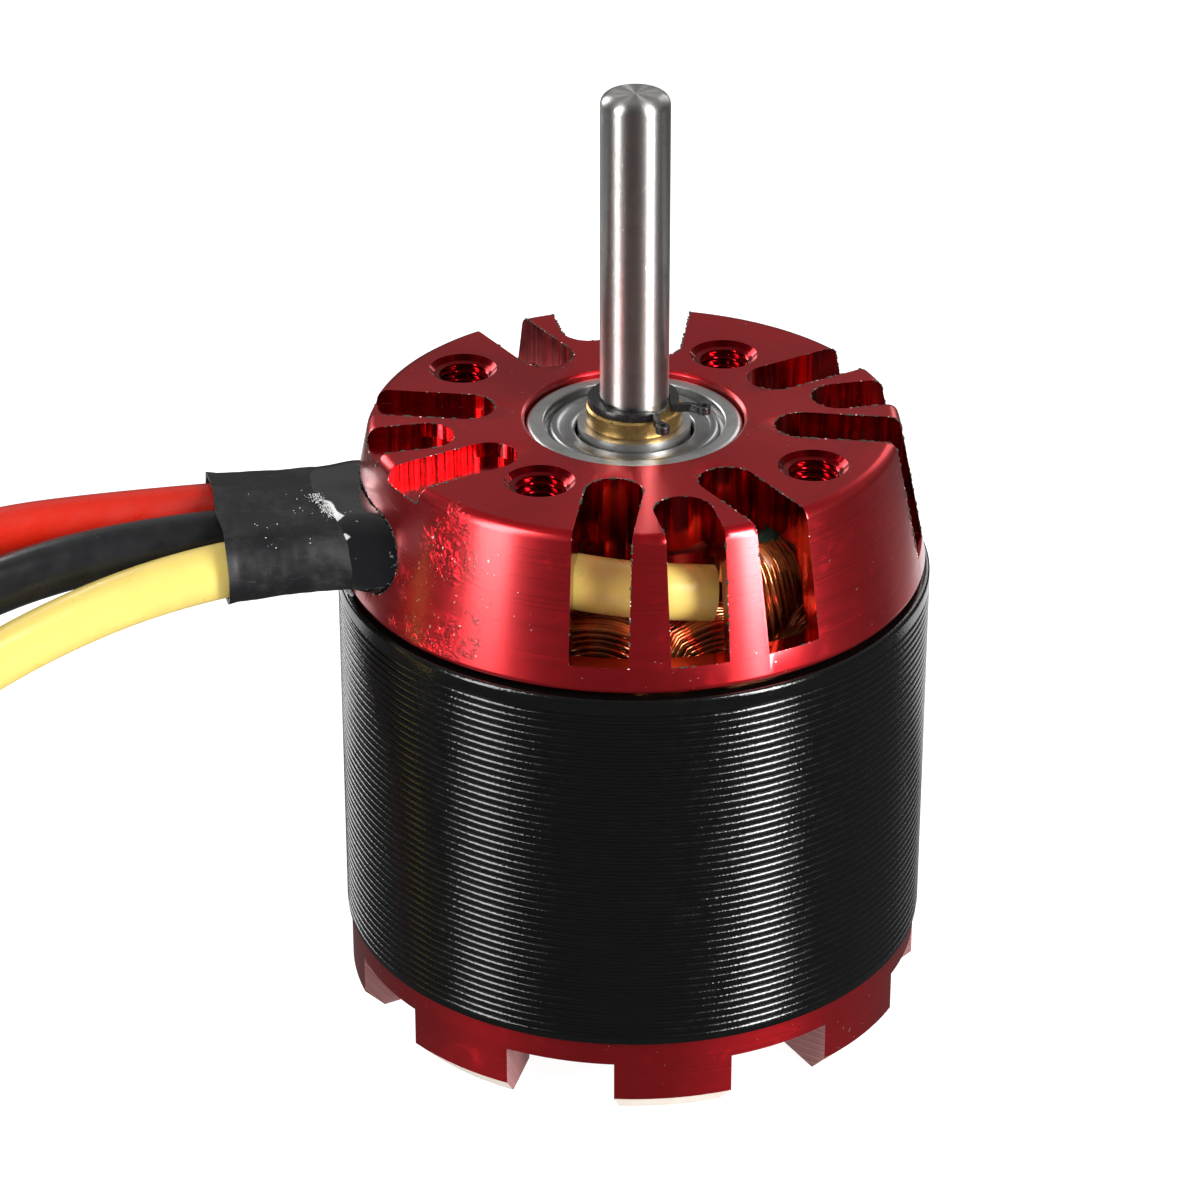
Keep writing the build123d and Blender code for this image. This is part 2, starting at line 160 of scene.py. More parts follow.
def stadium(straight, radius):
    """A flat outline with two round ends: half its straight length, and the ends' radius."""
    outline = []
    for sign in (1, -1):
        for degrees in range(-90, 91, 15):
            angle = math.radians(degrees)
            outline.append((sign * (straight + radius * math.cos(angle)),
                            sign * radius * math.sin(angle)))
    return outline


def lathe(name, profile, segments=256, smooth_angle=40.0):
    """A solid of revolution about Z, from a closed outline of (radius, z)."""
    rings = []
    for k in range(segments):
        angle = 2 * math.pi * k / segments
        rings.append([(r * math.cos(angle), r * math.sin(angle), z) for r, z in profile])
    return solid(name, rings, smooth_angle, loop=True)


def arc(centre, radius, start, end, steps):
    """Points of a circular arc in a profile, from start to end degrees."""
    angles = [math.radians(start + (end - start) * k / steps) for k in range(steps + 1)]
    return [(centre[0] + radius * math.cos(a), centre[1] + radius * math.sin(a)) for a in angles]


def frames_along(points):
    """Two unit vectors across the line at each point, turning as little as they can."""
    tangents = []
    for k in range(len(points)):
        before, after = points[max(k - 1, 0)], points[min(k + 1, len(points) - 1)]
        tangents.append((after - before).normalized())
    side = tangents[0].orthogonal().normalized()
    across = []
    for tangent in tangents:
        side = (side - tangent * side.dot(tangent)).normalized()
        across.append((side, tangent.cross(side)))
    return across


def tube_rings(points, radius, sides=8):
    turns = [2 * math.pi * k / sides for k in range(sides)]
    return [[point + radius * (math.cos(turn) * side + math.sin(turn) * up) for turn in turns]
            for point, (side, up) in zip(points, frames_along(points))]


def many_tubes(name, lines, radius, sides=8):
    """One mesh of many round strands."""
    vertices, faces = [], []
    for line in lines:
        part_vertices, part_faces = skin(tube_rings(line, radius, sides))
        base = len(vertices)
        vertices += part_vertices
        faces += [tuple(base + i for i in face) for face in part_faces]
    return mesh_object(name, vertices, faces, 60.0)


def smooth_line(points, steps):
    """Points of a uniform quadratic B-spline through a control list, ends included."""
    ends = [points[0]] + list(points) + [points[-1]]
    line = []
    for a, b, c in zip(ends, ends[1:], ends[2:]):
        for k in range(steps):
            t = k / steps
            line.append(a * (1 - t) ** 2 / 2 + b * (0.5 + t - t * t) + c * t * t / 2)
    line.append((ends[-2] + ends[-1]) / 2)
    line[0] = Vector(points[0])
    return line


def apply_modifier(made, kind, **settings):
    """Change an object's mesh by one modifier."""
    modifier = made.modifiers.new(kind.lower(), kind)
    for key, value in settings.items():
        setattr(modifier, key, value)
    graph = bpy.context.evaluated_depsgraph_get()
    mesh = bpy.data.meshes.new_from_object(made.evaluated_get(graph))
    made.modifiers.clear()
    made.data = mesh


def finish_shading(made):
    """Shade flat faces flat: corner normals follow the larger faces."""
    shade(made.data, 32.0)
    apply_modifier(made, "WEIGHTED_NORMAL", keep_sharp=True)


def cut(made, cutters, material_slot=0):
    """Subtract the cutters from a solid, and delete them; the cut faces take a material slot."""
    collection = bpy.data.collections.new("cutters")
    for cutter in cutters:
        collection.objects.link(cutter)
        for material in made.data.materials:
            cutter.data.materials.append(material)
        for face in cutter.data.polygons:
            face.material_index = material_slot
    apply_modifier(made, "BOOLEAN", operation="DIFFERENCE", operand_type="COLLECTION",
                   solver="EXACT", collection=collection)
    for cutter in cutters:
        bpy.data.objects.remove(cutter)
    bpy.data.collections.remove(collection)


def break_edges(made, width):
    """Round every sharp edge a little; the new faces take the worn material, in slot 1."""
    work = bmesh.new()
    work.from_mesh(made.data)
    bmesh.ops.remove_doubles(work, verts=work.verts, dist=1e-7)
    bmesh.ops.dissolve_degenerate(work, edges=work.edges, dist=1e-7)
    work.to_mesh(made.data)
    work.free()
    apply_modifier(made, "BEVEL", width=width, segments=2, limit_method="ANGLE",
                   angle_limit=math.radians(32.0), use_clamp_overlap=True, material=1,
                   miter_outer="MITER_ARC")


def make_crumbs(name, places, subdivisions):
    """One mesh of rounded crumbs, each a unit ball put in its place by a matrix."""
    work = bmesh.new()
    for place in places:
        bmesh.ops.create_icosphere(work, subdivisions=subdivisions, radius=1.0, matrix=place)
    mesh = bpy.data.meshes.new(name)
    work.to_mesh(mesh)
    work.free()
    shade(mesh, 60.0)
    return new_object(name, mesh)


# ---------------- leads: cords and connectors first
LEAD_EXIT = Vector((-0.0205, -0.0045, -0.0066))
LEAD_HEADING = math.radians(189.0)
LEAD_DIAMETER = 0.004
LEAD_OUT = Vector((math.cos(LEAD_HEADING), math.sin(LEAD_HEADING), 0.0))
LEAD_ACROSS = Vector((-math.sin(LEAD_HEADING), math.cos(LEAD_HEADING), 0.0))

# (along, side, height) of each route's points: along runs outwards, side to the front
LEAD_ROUTES = {
    "red": [
        (0.0005, -0.00405, -0.0066), (0.0145, -0.00405, -0.0066), (0.029, -0.0041, -0.0076),
        (0.0425, -0.0046, -0.014), (0.051, -0.0054, -0.026), (0.0595, -0.0064, -0.0376),
        (0.072, -0.0078, -0.0447), (0.086, -0.0092, -0.0447),
    ],
    "black": [
        (0.0005, 0.0, -0.0066), (0.0145, 0.0, -0.0066), (0.028, 0.0001, -0.0098),
        (0.040, 0.0004, -0.0176), (0.0485, 0.0007, -0.0292), (0.0575, 0.0004, -0.0398),
        (0.071, -0.0003, -0.0447), (0.0845, -0.0010, -0.0447),
    ],
    "yellow": [
        (0.0005, 0.00405, -0.0066), (0.0105, 0.00405, -0.0068), (0.0262, 0.0041, -0.0127),
        (0.039, 0.0046, -0.0224), (0.048, 0.0054, -0.0334), (0.0585, 0.0066, -0.0424),
        (0.0715, 0.0082, -0.0447), (0.084, 0.0094, -0.0447),
    ],
}


def lead_point(along, side, height):
    point = LEAD_EXIT + LEAD_OUT * along + LEAD_ACROSS * side
    return Vector((point.x, point.y, height))


def make_cord(colour):
    curve = bpy.data.curves.new(f"lead_{colour}_insulation", "CURVE")
    curve.dimensions = "3D"
    curve.bevel_depth = LEAD_DIAMETER / 2
    curve.bevel_resolution = 8
    curve.resolution_u = 24
    curve.use_fill_caps = True
    points = [lead_point(*p) for p in LEAD_ROUTES[colour]]
    spline = curve.splines.new("NURBS")
    spline.points.add(len(points) - 1)
    for control, point in zip(spline.points, points):
        control.co = (*point, 1.0)
    spline.order_u = 3
    spline.use_endpoint_u = True
    return new_object(f"lead_{colour}_insulation", curve), points


# half outline of a bullet connector, as (radius, height): solder cup, collar, sprung pin
CONNECTOR_OUTLINE = [
    (0.0019, 0.0), (0.0020, 0.0001), (0.0020, 0.0055), (0.0019, 0.0060), (0.0015, 0.0064),
    (0.0015, 0.0071), (0.0019, 0.0074), (0.0020, 0.0078), (0.0016, 0.0082), (0.00150, 0.0090),
    (0.00172, 0.0108), (0.00178, 0.0123), (0.00172, 0.0138), (0.00150, 0.0152),
    (0.00140, 0.0158), (0.00105, 0.0163),
]


def make_connector(colour, points):
    """Gold bullet connector in line with the lead's last run, its spring leaves slotted."""
    direction = (points[-1] - points[-2]).normalized()
    place = Matrix.Translation(points[-1]) @ direction.to_track_quat("Z", "Y").to_matrix().to_4x4()
    sides, leaves, slot_depth = 48, 4, 0.22
    rings = []
    for radius, height in CONNECTOR_OUTLINE:
        ring = []
        for k in range(sides):
            turn = 2 * math.pi * k / sides
            slotted = math.cos(leaves * turn) < -0.86 and 0.0084 < height < 0.0160
            reach = radius * (1 - slot_depth) if slotted else radius
            ring.append(place @ Vector((reach * math.cos(turn), reach * math.sin(turn), height)))
        rings.append(ring)
    return mesh_object(f"bullet_connector_{colour}", *skin(rings), 35.0)


cords, connectors = {}, {}
for colour in LEAD_ROUTES:
    cords[colour], lead_points = make_cord(colour)
    connectors[colour] = make_connector(colour, lead_points)


# ---------------- material tools
class Nodes:
    """A node tree, with short names for the nodes used here."""

    def __init__(self, tree):
        self.tree = tree

    def feed(self, target, value):
        """Link a socket into an input, or set a plain value on it."""
        if isinstance(value, bpy.types.NodeSocket):
            self.tree.links.new(value, target)
        elif value is not None:
            target.default_value = value

    def add(self, kind, sockets=(), **settings):
        node = self.tree.nodes.new(kind)
        for key, value in settings.items():
            setattr(node, key, value)
        for key, value in dict(sockets).items():
            self.feed(node.inputs[key], value)
        return node

    def math(self, operation, a, b=None):
        return self.add("ShaderNodeMath", {0: a, 1: b}, operation=operation).outputs[0]

    def split(self, vector):
        return self.add("ShaderNodeSeparateXYZ", {0: vector}).outputs

    def join(self, x, z=None):
        return self.add("ShaderNodeCombineXYZ", {0: x, 2: z}).outputs[0]

    def step(self, value, low, high, start=0.0, end=1.0):
        """A number that goes from start to end while the value goes from low to high."""
        return self.add("ShaderNodeMapRange", {
            "Value": value, "From Min": low, "From Max": high, "To Min": start, "To Max": end,
        }, clamp=True).outputs[0]


class Shader(Nodes):
    """A Principled material whose patterns lie in the object's own coordinates."""

    def __init__(self, name, base, roughness, metallic=0.0, **sockets):
        self.material = bpy.data.materials.new(name)
        self.material.use_nodes = True
        super().__init__(self.material.node_tree)
        self.bsdf = self.tree.nodes["Principled BSDF"]
        self.to("Base Color", (*base, 1.0))
        self.to("Roughness", roughness)
        self.to("Metallic", metallic)
        for socket, value in sockets.items():
            self.to(socket.replace("_", " "), value)
        self.place = self.add("ShaderNodeTexCoord").outputs["Object"]

    def to(self, socket, value):
        self.feed(self.bsdf.inputs[socket], value)

    def turned(self, across, along):
        """Coordinates in which a pattern becomes rings about Z: radius and height."""
        x, y, z = self.split(self.place)
        squares = [self.math("MULTIPLY", value, value) for value in (x, y)]
        radius = self.math("SQRT", self.math("ADD", *squares))
        return self.join(self.math("MULTIPLY", radius, across), self.math("MULTIPLY", z, along))

    def stretched(self, x, y, z):
        return self.add("ShaderNodeVectorMath", {0: self.place, 1: (x, y, z)},
                        operation="MULTIPLY").outputs[0]

    def noise(self, scale, detail=3.0, rough=0.55, vector=None, distortion=0.0):
        return self.add("ShaderNodeTexNoise", {
            "Vector": self.place if vector is None else vector, "Scale": scale,
            "Detail": detail, "Roughness": rough, "Distortion": distortion,
        }).outputs["Fac"]

    def lathe_lines(self, across, along, detail=2.0, rough=0.7):
        return self.noise(1.0, detail, rough, self.turned(across, along))

    def cells(self, scale):
        """Distance from the nearest of many scattered points."""
        return self.add("ShaderNodeTexVoronoi", {"Vector": self.place, "Scale": scale}
                        ).outputs["Distance"]

    def ramp(self, value, stops):
        node = self.add("ShaderNodeValToRGB", {0: value})
        elements = node.color_ramp.elements
        while len(elements) < len(stops):
            elements.new(0.5)
        for element, (position, colour) in zip(elements, stops):
            element.position = position
            element.color = (*colour, 1.0)
        return node.outputs[0]

    def mix(self, factor, a, b):
        a, b = ((*c, 1.0) if isinstance(c, tuple) else c for c in (a, b))
        return self.add("ShaderNodeMix", {0: factor, 6: a, 7: b}, data_type="RGBA").outputs[2]

    def bump(self, height, distance, strength=1.0, under=None):
        return self.add("ShaderNodeBump", {
            "Height": height, "Distance": distance, "Strength": strength, "Normal": under,
        }).outputs["Normal"]

    def colour(self, factor, a, b):
        self.to("Base Color", self.mix(factor, a, b))

    def rough(self, value, start, end, low=0.3, high=0.7):
        self.to("Roughness", self.step(value, low, high, start, end))

    def relief(self, *bump):
        self.to("Normal", self.bump(*bump))

    def radial_tangent(self):
        """Stretch highlights across the rings that turning leaves."""
        tangent = self.add("ShaderNodeTangent", direction_type="RADIAL", axis="Z")
        self.to("Tangent", tangent.outputs[0])

    def normal_z(self):
        return self.split(self.add("ShaderNodeNewGeometry").outputs["Normal"])["Z"]


RED = (0.58, 0.008, 0.015)
RED_DEEP = (0.44, 0.004, 0.009)


def red_anodised(name, smeared=False):
    """Clear red anodising over turned aluminium, with handling marks."""
    s = Shader(name, RED, 0.30, 0.93, Coat_Weight=0.5, Coat_Roughness=0.20, Coat_IOR=1.6,
               Anisotropic=0.5, Anisotropic_Rotation=0.25)
    s.radial_tangent()
    tint = s.mix(s.step(s.noise(90.0, 4.0), 0.35, 0.68), RED, RED_DEEP)
    specks = s.math("ADD", s.noise(2400.0, 2.0), s.step(s.noise(120.0), 0.3, 0.7, -0.05, 0.03))
    s.colour(s.step(specks, 0.735, 0.755), tint, (0.75, 0.42, 0.38))
    s.to("Coat Weight", s.step(s.normal_z(), 0.5, 0.9, 0.95, 0.15))
    lines = s.lathe_lines(9000.0, 9000.0)
    scuffs = s.step(s.noise(700.0, 5.0, 0.7), 0.55, 0.75, 0.0, 0.16)
    s.to("Roughness", s.math("ADD", s.step(lines, 0.3, 0.7, 0.26, 0.38), scuffs))
    pits = s.step(s.cells(1500.0), 0.0, 0.10)
    normal = s.bump(pits, 0.000004, 0.6, s.bump(lines, 0.000006))
    s.to("Normal", glue_smear(s, normal) if smeared else normal)
    return s.material


def glue_smear(s, normal):
    """Dried clear glue on the side wall beside the lead exit: worm-like wrinkles and specks."""
    flattened = 0.55
    middle = polar(0.0208, -133.5, -0.0070 * flattened)
    near = s.add("ShaderNodeVectorMath", {0: s.stretched(1.0, 1.0, flattened),
                                          1: tuple(middle)}, operation="DISTANCE")
    ragged = s.step(s.noise(520.0, 4.0), 0.2, 0.8, -0.0026, 0.0026)
    patch = s.step(s.math("ADD", near.outputs["Value"], ragged), 0.0026, 0.0044, 1.0, 0.0)
    worms = s.noise(620.0, 3.0, 0.6, distortion=1.2)
    ridge = s.math("ABSOLUTE", s.math("SUBTRACT", worms, 0.5))
    clumps = s.math("MULTIPLY", patch, s.step(s.noise(230.0, 2.0), 0.36, 0.50))
    height = s.math("MULTIPLY", clumps, s.step(ridge, 0.0, 0.10, 1.0, 0.0))
    specks = s.math("MULTIPLY", patch, s.step(s.noise(3300.0, 2.0), 0.68, 0.71))
    metal = s.bsdf.inputs["Base Color"].links[0].from_socket
    s.colour(specks, metal, (0.85, 0.50, 0.47))
    return s.bump(height, 0.00008, 1.0, normal)


def fluted_anodised():
    """Slot walls: upright flutes left by the side of the cutter, in the relief, with light and
    dark upright bands painted into the colour over them as a painted reflection. Floors stay
    plain.
    """
    s = Shader("fluted_anodised", RED, 0.2, 1.0, Coat_Weight=0.3, Coat_Roughness=0.1)
    upright = s.step(s.math("ABSOLUTE", s.normal_z()), 0.3, 0.6, 1.0, 0.0)
    flutes = s.noise(1.0, 2.0, 0.6, s.stretched(1500.0, 1500.0, 60.0))
    painted_reflection_streaks = s.math("MULTIPLY", s.step(flutes, 0.38, 0.62), upright)
    # painted reflection: the colour turns light and dark along the upright flutes
    s.colour(painted_reflection_streaks, (0.62, 0.008, 0.014), (0.24, 0.003, 0.005))
    s.rough(s.noise(500.0), 0.12, 0.22)
    s.relief(s.math("MULTIPLY", flutes, upright), 0.00007)
    return s.material


def milled_anodised():
    """Notch faces left by an end mill: slanted cutter marks, silvery pink."""
    s = Shader("milled_anodised", (0.50, 0.19, 0.18), 0.40, 0.35, Coat_Weight=0.5,
               Coat_Roughness=0.30)
    x, y, z = s.split(s.place)
    slanted = s.math("MULTIPLY", s.math("ADD", s.math("ADD", x, y), z), 5200.0)
    marks = s.noise(1.0, 2.0, 0.7, s.join(slanted))
    s.colour(s.step(marks, 0.35, 0.65), (0.60, 0.34, 0.33), (0.36, 0.10, 0.10))
    s.rough(marks, 0.30, 0.50)
    s.relief(marks, 0.00003)
    return s.material


def bright_chamfer():
    """The foot's chamfer, cut after anodising: bare pale aluminium with fine tool lines."""
    s = Shader("bright_chamfer", (0.74, 0.67, 0.60), 0.5, 0.1)
    lines = s.lathe_lines(9000.0, 9000.0, 3.0, 0.75)
    s.colour(s.step(lines, 0.3, 0.7), (0.80, 0.73, 0.66), (0.60, 0.52, 0.46))
    s.rough(s.noise(600.0, 4.0), 0.40, 0.60)
    s.relief(lines, 0.000008)
    return s.material


def worn_edge():
    """Edges where the anodising is rubbed or chipped: dark grime and bare aluminium."""
    s = Shader("worn_red_edge", RED, 0.35, 1.0, Coat_Weight=0.3, Coat_Roughness=0.2)
    where = s.step(s.noise(170.0, 2.0), 0.38, 0.60, -0.05, 0.12)
    chips = s.math("ADD", s.noise(1700.0, 4.0, 0.65), where)
    s.to("Base Color", s.ramp(chips, [
        (0.0, RED), (0.55, RED), (0.56, (0.012, 0.010, 0.006)), (0.64, (0.022, 0.018, 0.011)),
        (0.65, (0.80, 0.68, 0.62)), (0.9, (0.9, 0.86, 0.84))]))
    s.rough(chips, 0.24, 0.5, 0.55, 0.65)
    s.relief(chips, 0.00006)
    return s.material


def black_gloss():
    """Thin gloss black over a coarse turned surface, which breaks its highlights into grains."""
    black = (0.0018, 0.0021, 0.0019)
    s = Shader("black_ring_gloss", black, 0.2, Specular_IOR_Level=0.62)
    s.colour(s.step(s.noise(2600.0), 0.75, 0.79), black, (0.06, 0.06, 0.055))
    s.rough(s.noise(900.0), 0.09, 0.20)
    grain = s.bump(s.noise(3600.0, 2.0, 0.6, s.stretched(1.0, 1.0, 1.6)), 0.000020)
    s.relief(s.lathe_lines(4000.0, 9000.0, rough=0.6), 0.000004, 1.0, grain)
    return s.material


def ground_steel(name, base, low, high, line_depth, anisotropic):
    """Steel ground or turned about Z, with fine rings and a few stains."""
    s = Shader(name, base, (low + high) / 2, 1.0, Anisotropic=anisotropic,
               Anisotropic_Rotation=0.25)
    s.radial_tangent()
    lines = s.lathe_lines(12000.0, 12000.0, 3.0, 0.75)
    stains = s.noise(500.0, 4.0)
    s.to("Roughness", s.math("ADD", s.step(lines, 0.3, 0.7, low, high),
                             s.step(stains, 0.55, 0.75, 0.0, 0.12)))
    s.colour(s.step(stains, 0.50, 0.78), base, tuple(0.62 * c for c in base))
    grit = s.step(s.noise(3200.0, 2.0), 0.62, 0.72)
    s.relief(grit, 0.000005, 1.0, s.bump(lines, line_depth))
    return s.material


def brass():
    s = Shader("turned_brass", (0.60, 0.38, 0.13), 0.34, 1.0, Anisotropic=0.4)
    s.radial_tangent()
    tarnish = s.noise(900.0, 5.0, 0.65)
    s.colour(s.step(tarnish, 0.45, 0.7), (0.62, 0.40, 0.14), (0.24, 0.14, 0.05))
    s.rough(tarnish, 0.26, 0.5, 0.4)
    s.relief(s.lathe_lines(9000.0, 14000.0), 0.000003)
    return s.material


def black_oxide():
    black = (0.008, 0.008, 0.009)
    s = Shader("black_oxide_steel", black, 0.30, Specular_IOR_Level=0.6)
    grain = s.noise(2600.0, 4.0, 0.7)
    s.colour(s.step(grain, 0.62, 0.72), black, (0.07, 0.065, 0.06))
    s.rough(grain, 0.20, 0.40)
    s.relief(grain, 0.00003)
    return s.material


def copper():
    """Enamelled wire: amber varnish over copper."""
    s = Shader("enamelled_copper", (0.62, 0.25, 0.11), 0.24, 0.88, Coat_Weight=0.8,
               Coat_Roughness=0.08, Coat_IOR=1.55, Coat_Tint=(1.0, 0.72, 0.45, 1.0))
    s.colour(s.step(s.noise(420.0), 0.35, 0.7), (0.86, 0.38, 0.17), (0.46, 0.15, 0.05))
    s.rough(s.noise(1800.0, 2.0), 0.12, 0.24)
    s.relief(s.noise(3000.0, 2.0), 0.000004)
    return s.material


def silicone(name, base, dirt):
    """Soft silicone insulation, satin, with lint and finger marks."""
    s = Shader(name, base, 0.42, Subsurface_Weight=0.12, Subsurface_Scale=0.0008,
               Sheen_Weight=0.03, Sheen_Roughness=0.45, Specular_IOR_Level=0.5)
    soiled = s.mix(s.step(s.noise(160.0, 5.0, 0.6), 0.50, 0.80, 0.0, 0.55), base, dirt)
    s.colour(s.step(s.noise(2800.0, 2.0), 0.73, 0.78), soiled, dirt)
    s.rough(s.noise(600.0, 4.0), 0.24, 0.40)
    s.relief(s.noise(2400.0), 0.000015, 1.0, s.bump(s.noise(260.0), 0.00006, 0.6))
    return s.material


def heat_shrink():
    """Matte black polyolefin, scuffed grey and dusty."""
    s = Shader("black_heat_shrink", (0.014, 0.014, 0.015), 0.5, Specular_IOR_Level=0.38)
    grey = s.noise(240.0, 6.0, 0.72)
    scratch = s.noise(1.0, 3.0, 0.7, s.stretched(500.0, 2600.0, 2600.0))
    worn = s.math("MAXIMUM", s.step(grey, 0.50, 0.72, 0.0, 0.75),
                  s.step(scratch, 0.62, 0.72, 0.0, 0.8))
    s.colour(worn, (0.007, 0.007, 0.008), (0.028, 0.028, 0.030))
    s.rough(grey, 0.34, 0.60, 0.35, 0.65)
    s.relief(scratch, 0.00002, 1.0, s.bump(s.noise(330.0, 4.0), 0.00010, 0.7))
    return s.material


def potting():
    """Glossy black glue, softly rippled, with tiny bubbles."""
    black = (0.006, 0.006, 0.007)
    s = Shader("glossy_potting", black, 0.07, Specular_IOR_Level=0.65, Coat_Weight=0.5,
               Coat_Roughness=0.03)
    s.colour(s.step(s.noise(2000.0, 2.0), 0.70, 0.75), black, (0.16, 0.16, 0.16))
    ripples = s.bump(s.noise(300.0, 2.0, distortion=0.4), 0.00008, 0.8)
    s.relief(s.step(s.cells(1700.0), 0.0, 0.22), 0.00001, 0.6, ripples)
    return s.material


def plain(name, base, spread, roughness, metallic=0.0, scale=600.0, depth=0.00002):
    """A quiet material whose colour, gloss and height all vary with one noise."""
    s = Shader(name, base, roughness, metallic)
    grain = s.noise(scale, 4.0)
    s.colour(s.step(grain, 0.35, 0.7), base, tuple(c * spread for c in base))
    s.rough(grain, roughness * 0.8, min(1.0, roughness * 1.25))
    s.relief(grain, depth)
    return s.material


def laminations():
    """Stacked silicon steel sheets, each 0.35 mm, seen edge on."""
    s = Shader("stator_laminations", (0.22, 0.22, 0.23), 0.42, 0.9)
    sheet = 0.00035
    wave = s.add("ShaderNodeTexWave", {"Scale": 2 * math.pi / (20 * sheet), "Vector": s.place},
                 wave_type="BANDS", bands_direction="Z")
    seam = wave.outputs["Fac"]
    s.colour(seam, (0.05, 0.05, 0.055), (0.26, 0.26, 0.27))
    s.relief(seam, 0.00002)
    return s.material


M = {
    "red": red_anodised("red_anodised"),
    "red_smeared": red_anodised("red_anodised_smeared", smeared=True),
    "edge": worn_edge(),
    "fluted": fluted_anodised(),
    "edge_grime": plain("edge_grime", (0.022, 0.018, 0.010), 1.2, 0.45, 0.0, 2500.0),
    "edge_bare_metal": plain("edge_bare_metal", (0.85, 0.74, 0.70), 1.1, 0.4, 0.3, 2500.0),
    # the tapped holes' threads: the cap's anodised red painted darker, as painted shade inside the
    # holes
    "thread": plain("anodised_thread_painted_shade", (0.34, 0.004, 0.008), 0.6, 0.16, 1.0, 900.0, 0.000006),
    "froth": plain("glue_froth", (0.42, 0.42, 0.41), 1.5, 0.2, 0.0, 2500.0, 0.00004),
    "milled": milled_anodised(),
    "chamfer": bright_chamfer(),
    "black": black_gloss(),
    "shaft": ground_steel("ground_shaft_steel", (0.60, 0.585, 0.56), 0.32, 0.42, 0.0000008, 0.85),
    "bearing": ground_steel("bearing_steel", (0.56, 0.56, 0.55), 0.26, 0.44, 0.000008, 0.2),
    "shield": ground_steel("shield_steel", (0.36, 0.36, 0.36), 0.22, 0.42, 0.000004, 0.1),
    "ball": plain("polished_ball_steel", (0.78, 0.78, 0.79), 0.9, 0.08, 1.0, 900.0, 0.000002),
    "brass": brass(),
    "oxide": black_oxide(),
    "copper": copper(),
    "lamination": laminations(),
    "insulator": plain("green_end_insulator", (0.03, 0.11, 0.06), 0.7, 0.5),
    "magnet": plain("nickel_plated_magnet", (0.55, 0.55, 0.54), 0.8, 0.28, 1.0),
    "red_silicone": silicone("red_silicone", (0.46, 0.012, 0.003), (0.30, 0.007, 0.003)),
    "black_silicone": silicone("black_silicone", (0.007, 0.007, 0.008), (0.03, 0.03, 0.032)),
    "yellow_silicone": silicone("yellow_silicone", (0.64, 0.49, 0.12), (0.45, 0.31, 0.08)),
    "heat_shrink": heat_shrink(),
    "potting": potting(),
    "amber": plain("amber_varnished_sleeve", (0.42, 0.12, 0.03), 0.6, 0.3, 0.0, 1500.0, 0.00004),
    "gold": plain("gold_plate", (0.90, 0.62, 0.22), 0.85, 0.2, 1.0),
}


def wear(made, *names):
    """Set a mesh's materials. Clearing them zeroes every face's slot, so the slots are kept."""
    faces = getattr(made.data, "polygons", [])
    slots = [face.material_index for face in faces]
    made.data.materials.clear()
    for name in names:
        made.data.materials.append(M[name])
    for face, slot in zip(faces, slots):
        face.material_index = min(slot, len(names) - 1)


def piece(made, body, materials, slot, *nodes):
    """Give a piece its materials, its body, and the nodes it stands for; its record slot is not
    used.
    """
    wear(made, *materials)
    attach(made, body)
    if nodes:
        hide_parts(*nodes)
    return made


# ---------------- front cap
PLATE_RADIUS = 0.0194
PLATE_FILLET = 0.0009
CAP_BASE_RADIUS = cap_high.x
CAP_BASE_Z = -0.0111
BEARING_SEAT = 0.008
TUBE_RADIUS = 0.0092
TUBE_END_Z = cap_low.z
SLOT_WIDTH = 0.0042
SLOT_FLOOR_Z = -0.0093
SLOT_SPREAD = 19.5
SLOT_GROUPS = [12.5, 102.5, 192.5, 282.5]
BLIND_GROUP = 192.5
BLIND_DEPTH = 0.0011
LONG_TIP, SHORT_TIP = 0.0102, 0.0133
WIDE_HOLES = (0.015, -32.5)
NARROW_HOLES = (0.0125, -122.5)
THREAD_PITCH = 0.0007
WINDOW_SIZE = (0.0154, 0.0060)


def cap_outline():
    """Outline of the cap's turned body, with its small radii."""
    taper = math.degrees(math.atan2(CAP_BASE_RADIUS - PLATE_RADIUS, -CAP_BASE_Z))
    fillet = arc((PLATE_RADIUS - PLATE_FILLET, -PLATE_FILLET), PLATE_FILLET, 90, taper, 8)
    return [
        (BEARING_SEAT, -0.0002), (BEARING_SEAT + 0.0002, 0.0), *fillet,
        (CAP_BASE_RADIUS - 0.00008, CAP_BASE_Z + 0.0004), (CAP_BASE_RADIUS - 0.0002, CAP_BASE_Z),
        (0.0202, CAP_BASE_Z), (0.0201, CAP_BASE_Z + 0.0001), (0.0182, -0.0036),
        (0.0178, -0.0033), (0.0142, -0.0033), (0.0126, -0.005), (0.0104, -0.005),
        (0.0104, -0.007), (TUBE_RADIUS, -0.0072), (TUBE_RADIUS, TUBE_END_Z),
        (BEARING_SEAT, TUBE_END_Z), (BEARING_SEAT, -0.0311), (0.0072, -0.0311),
        (0.0072, -0.00535), (BEARING_SEAT, -0.00535),
    ]


def slot_cutter(tip, angle, floor):
    """A radial slot with a round inner end, from its tip past the wall, down to a floor."""
    half = SLOT_WIDTH / 2
    end = CAP_BASE_RADIUS + 0.004
    outline = [(end, -half), (end, half)] + arc((tip + half, 0.0), half, 90, 270, 18)
    return prism(f"slot_{angle}", outline, angle, floor, 0.001)


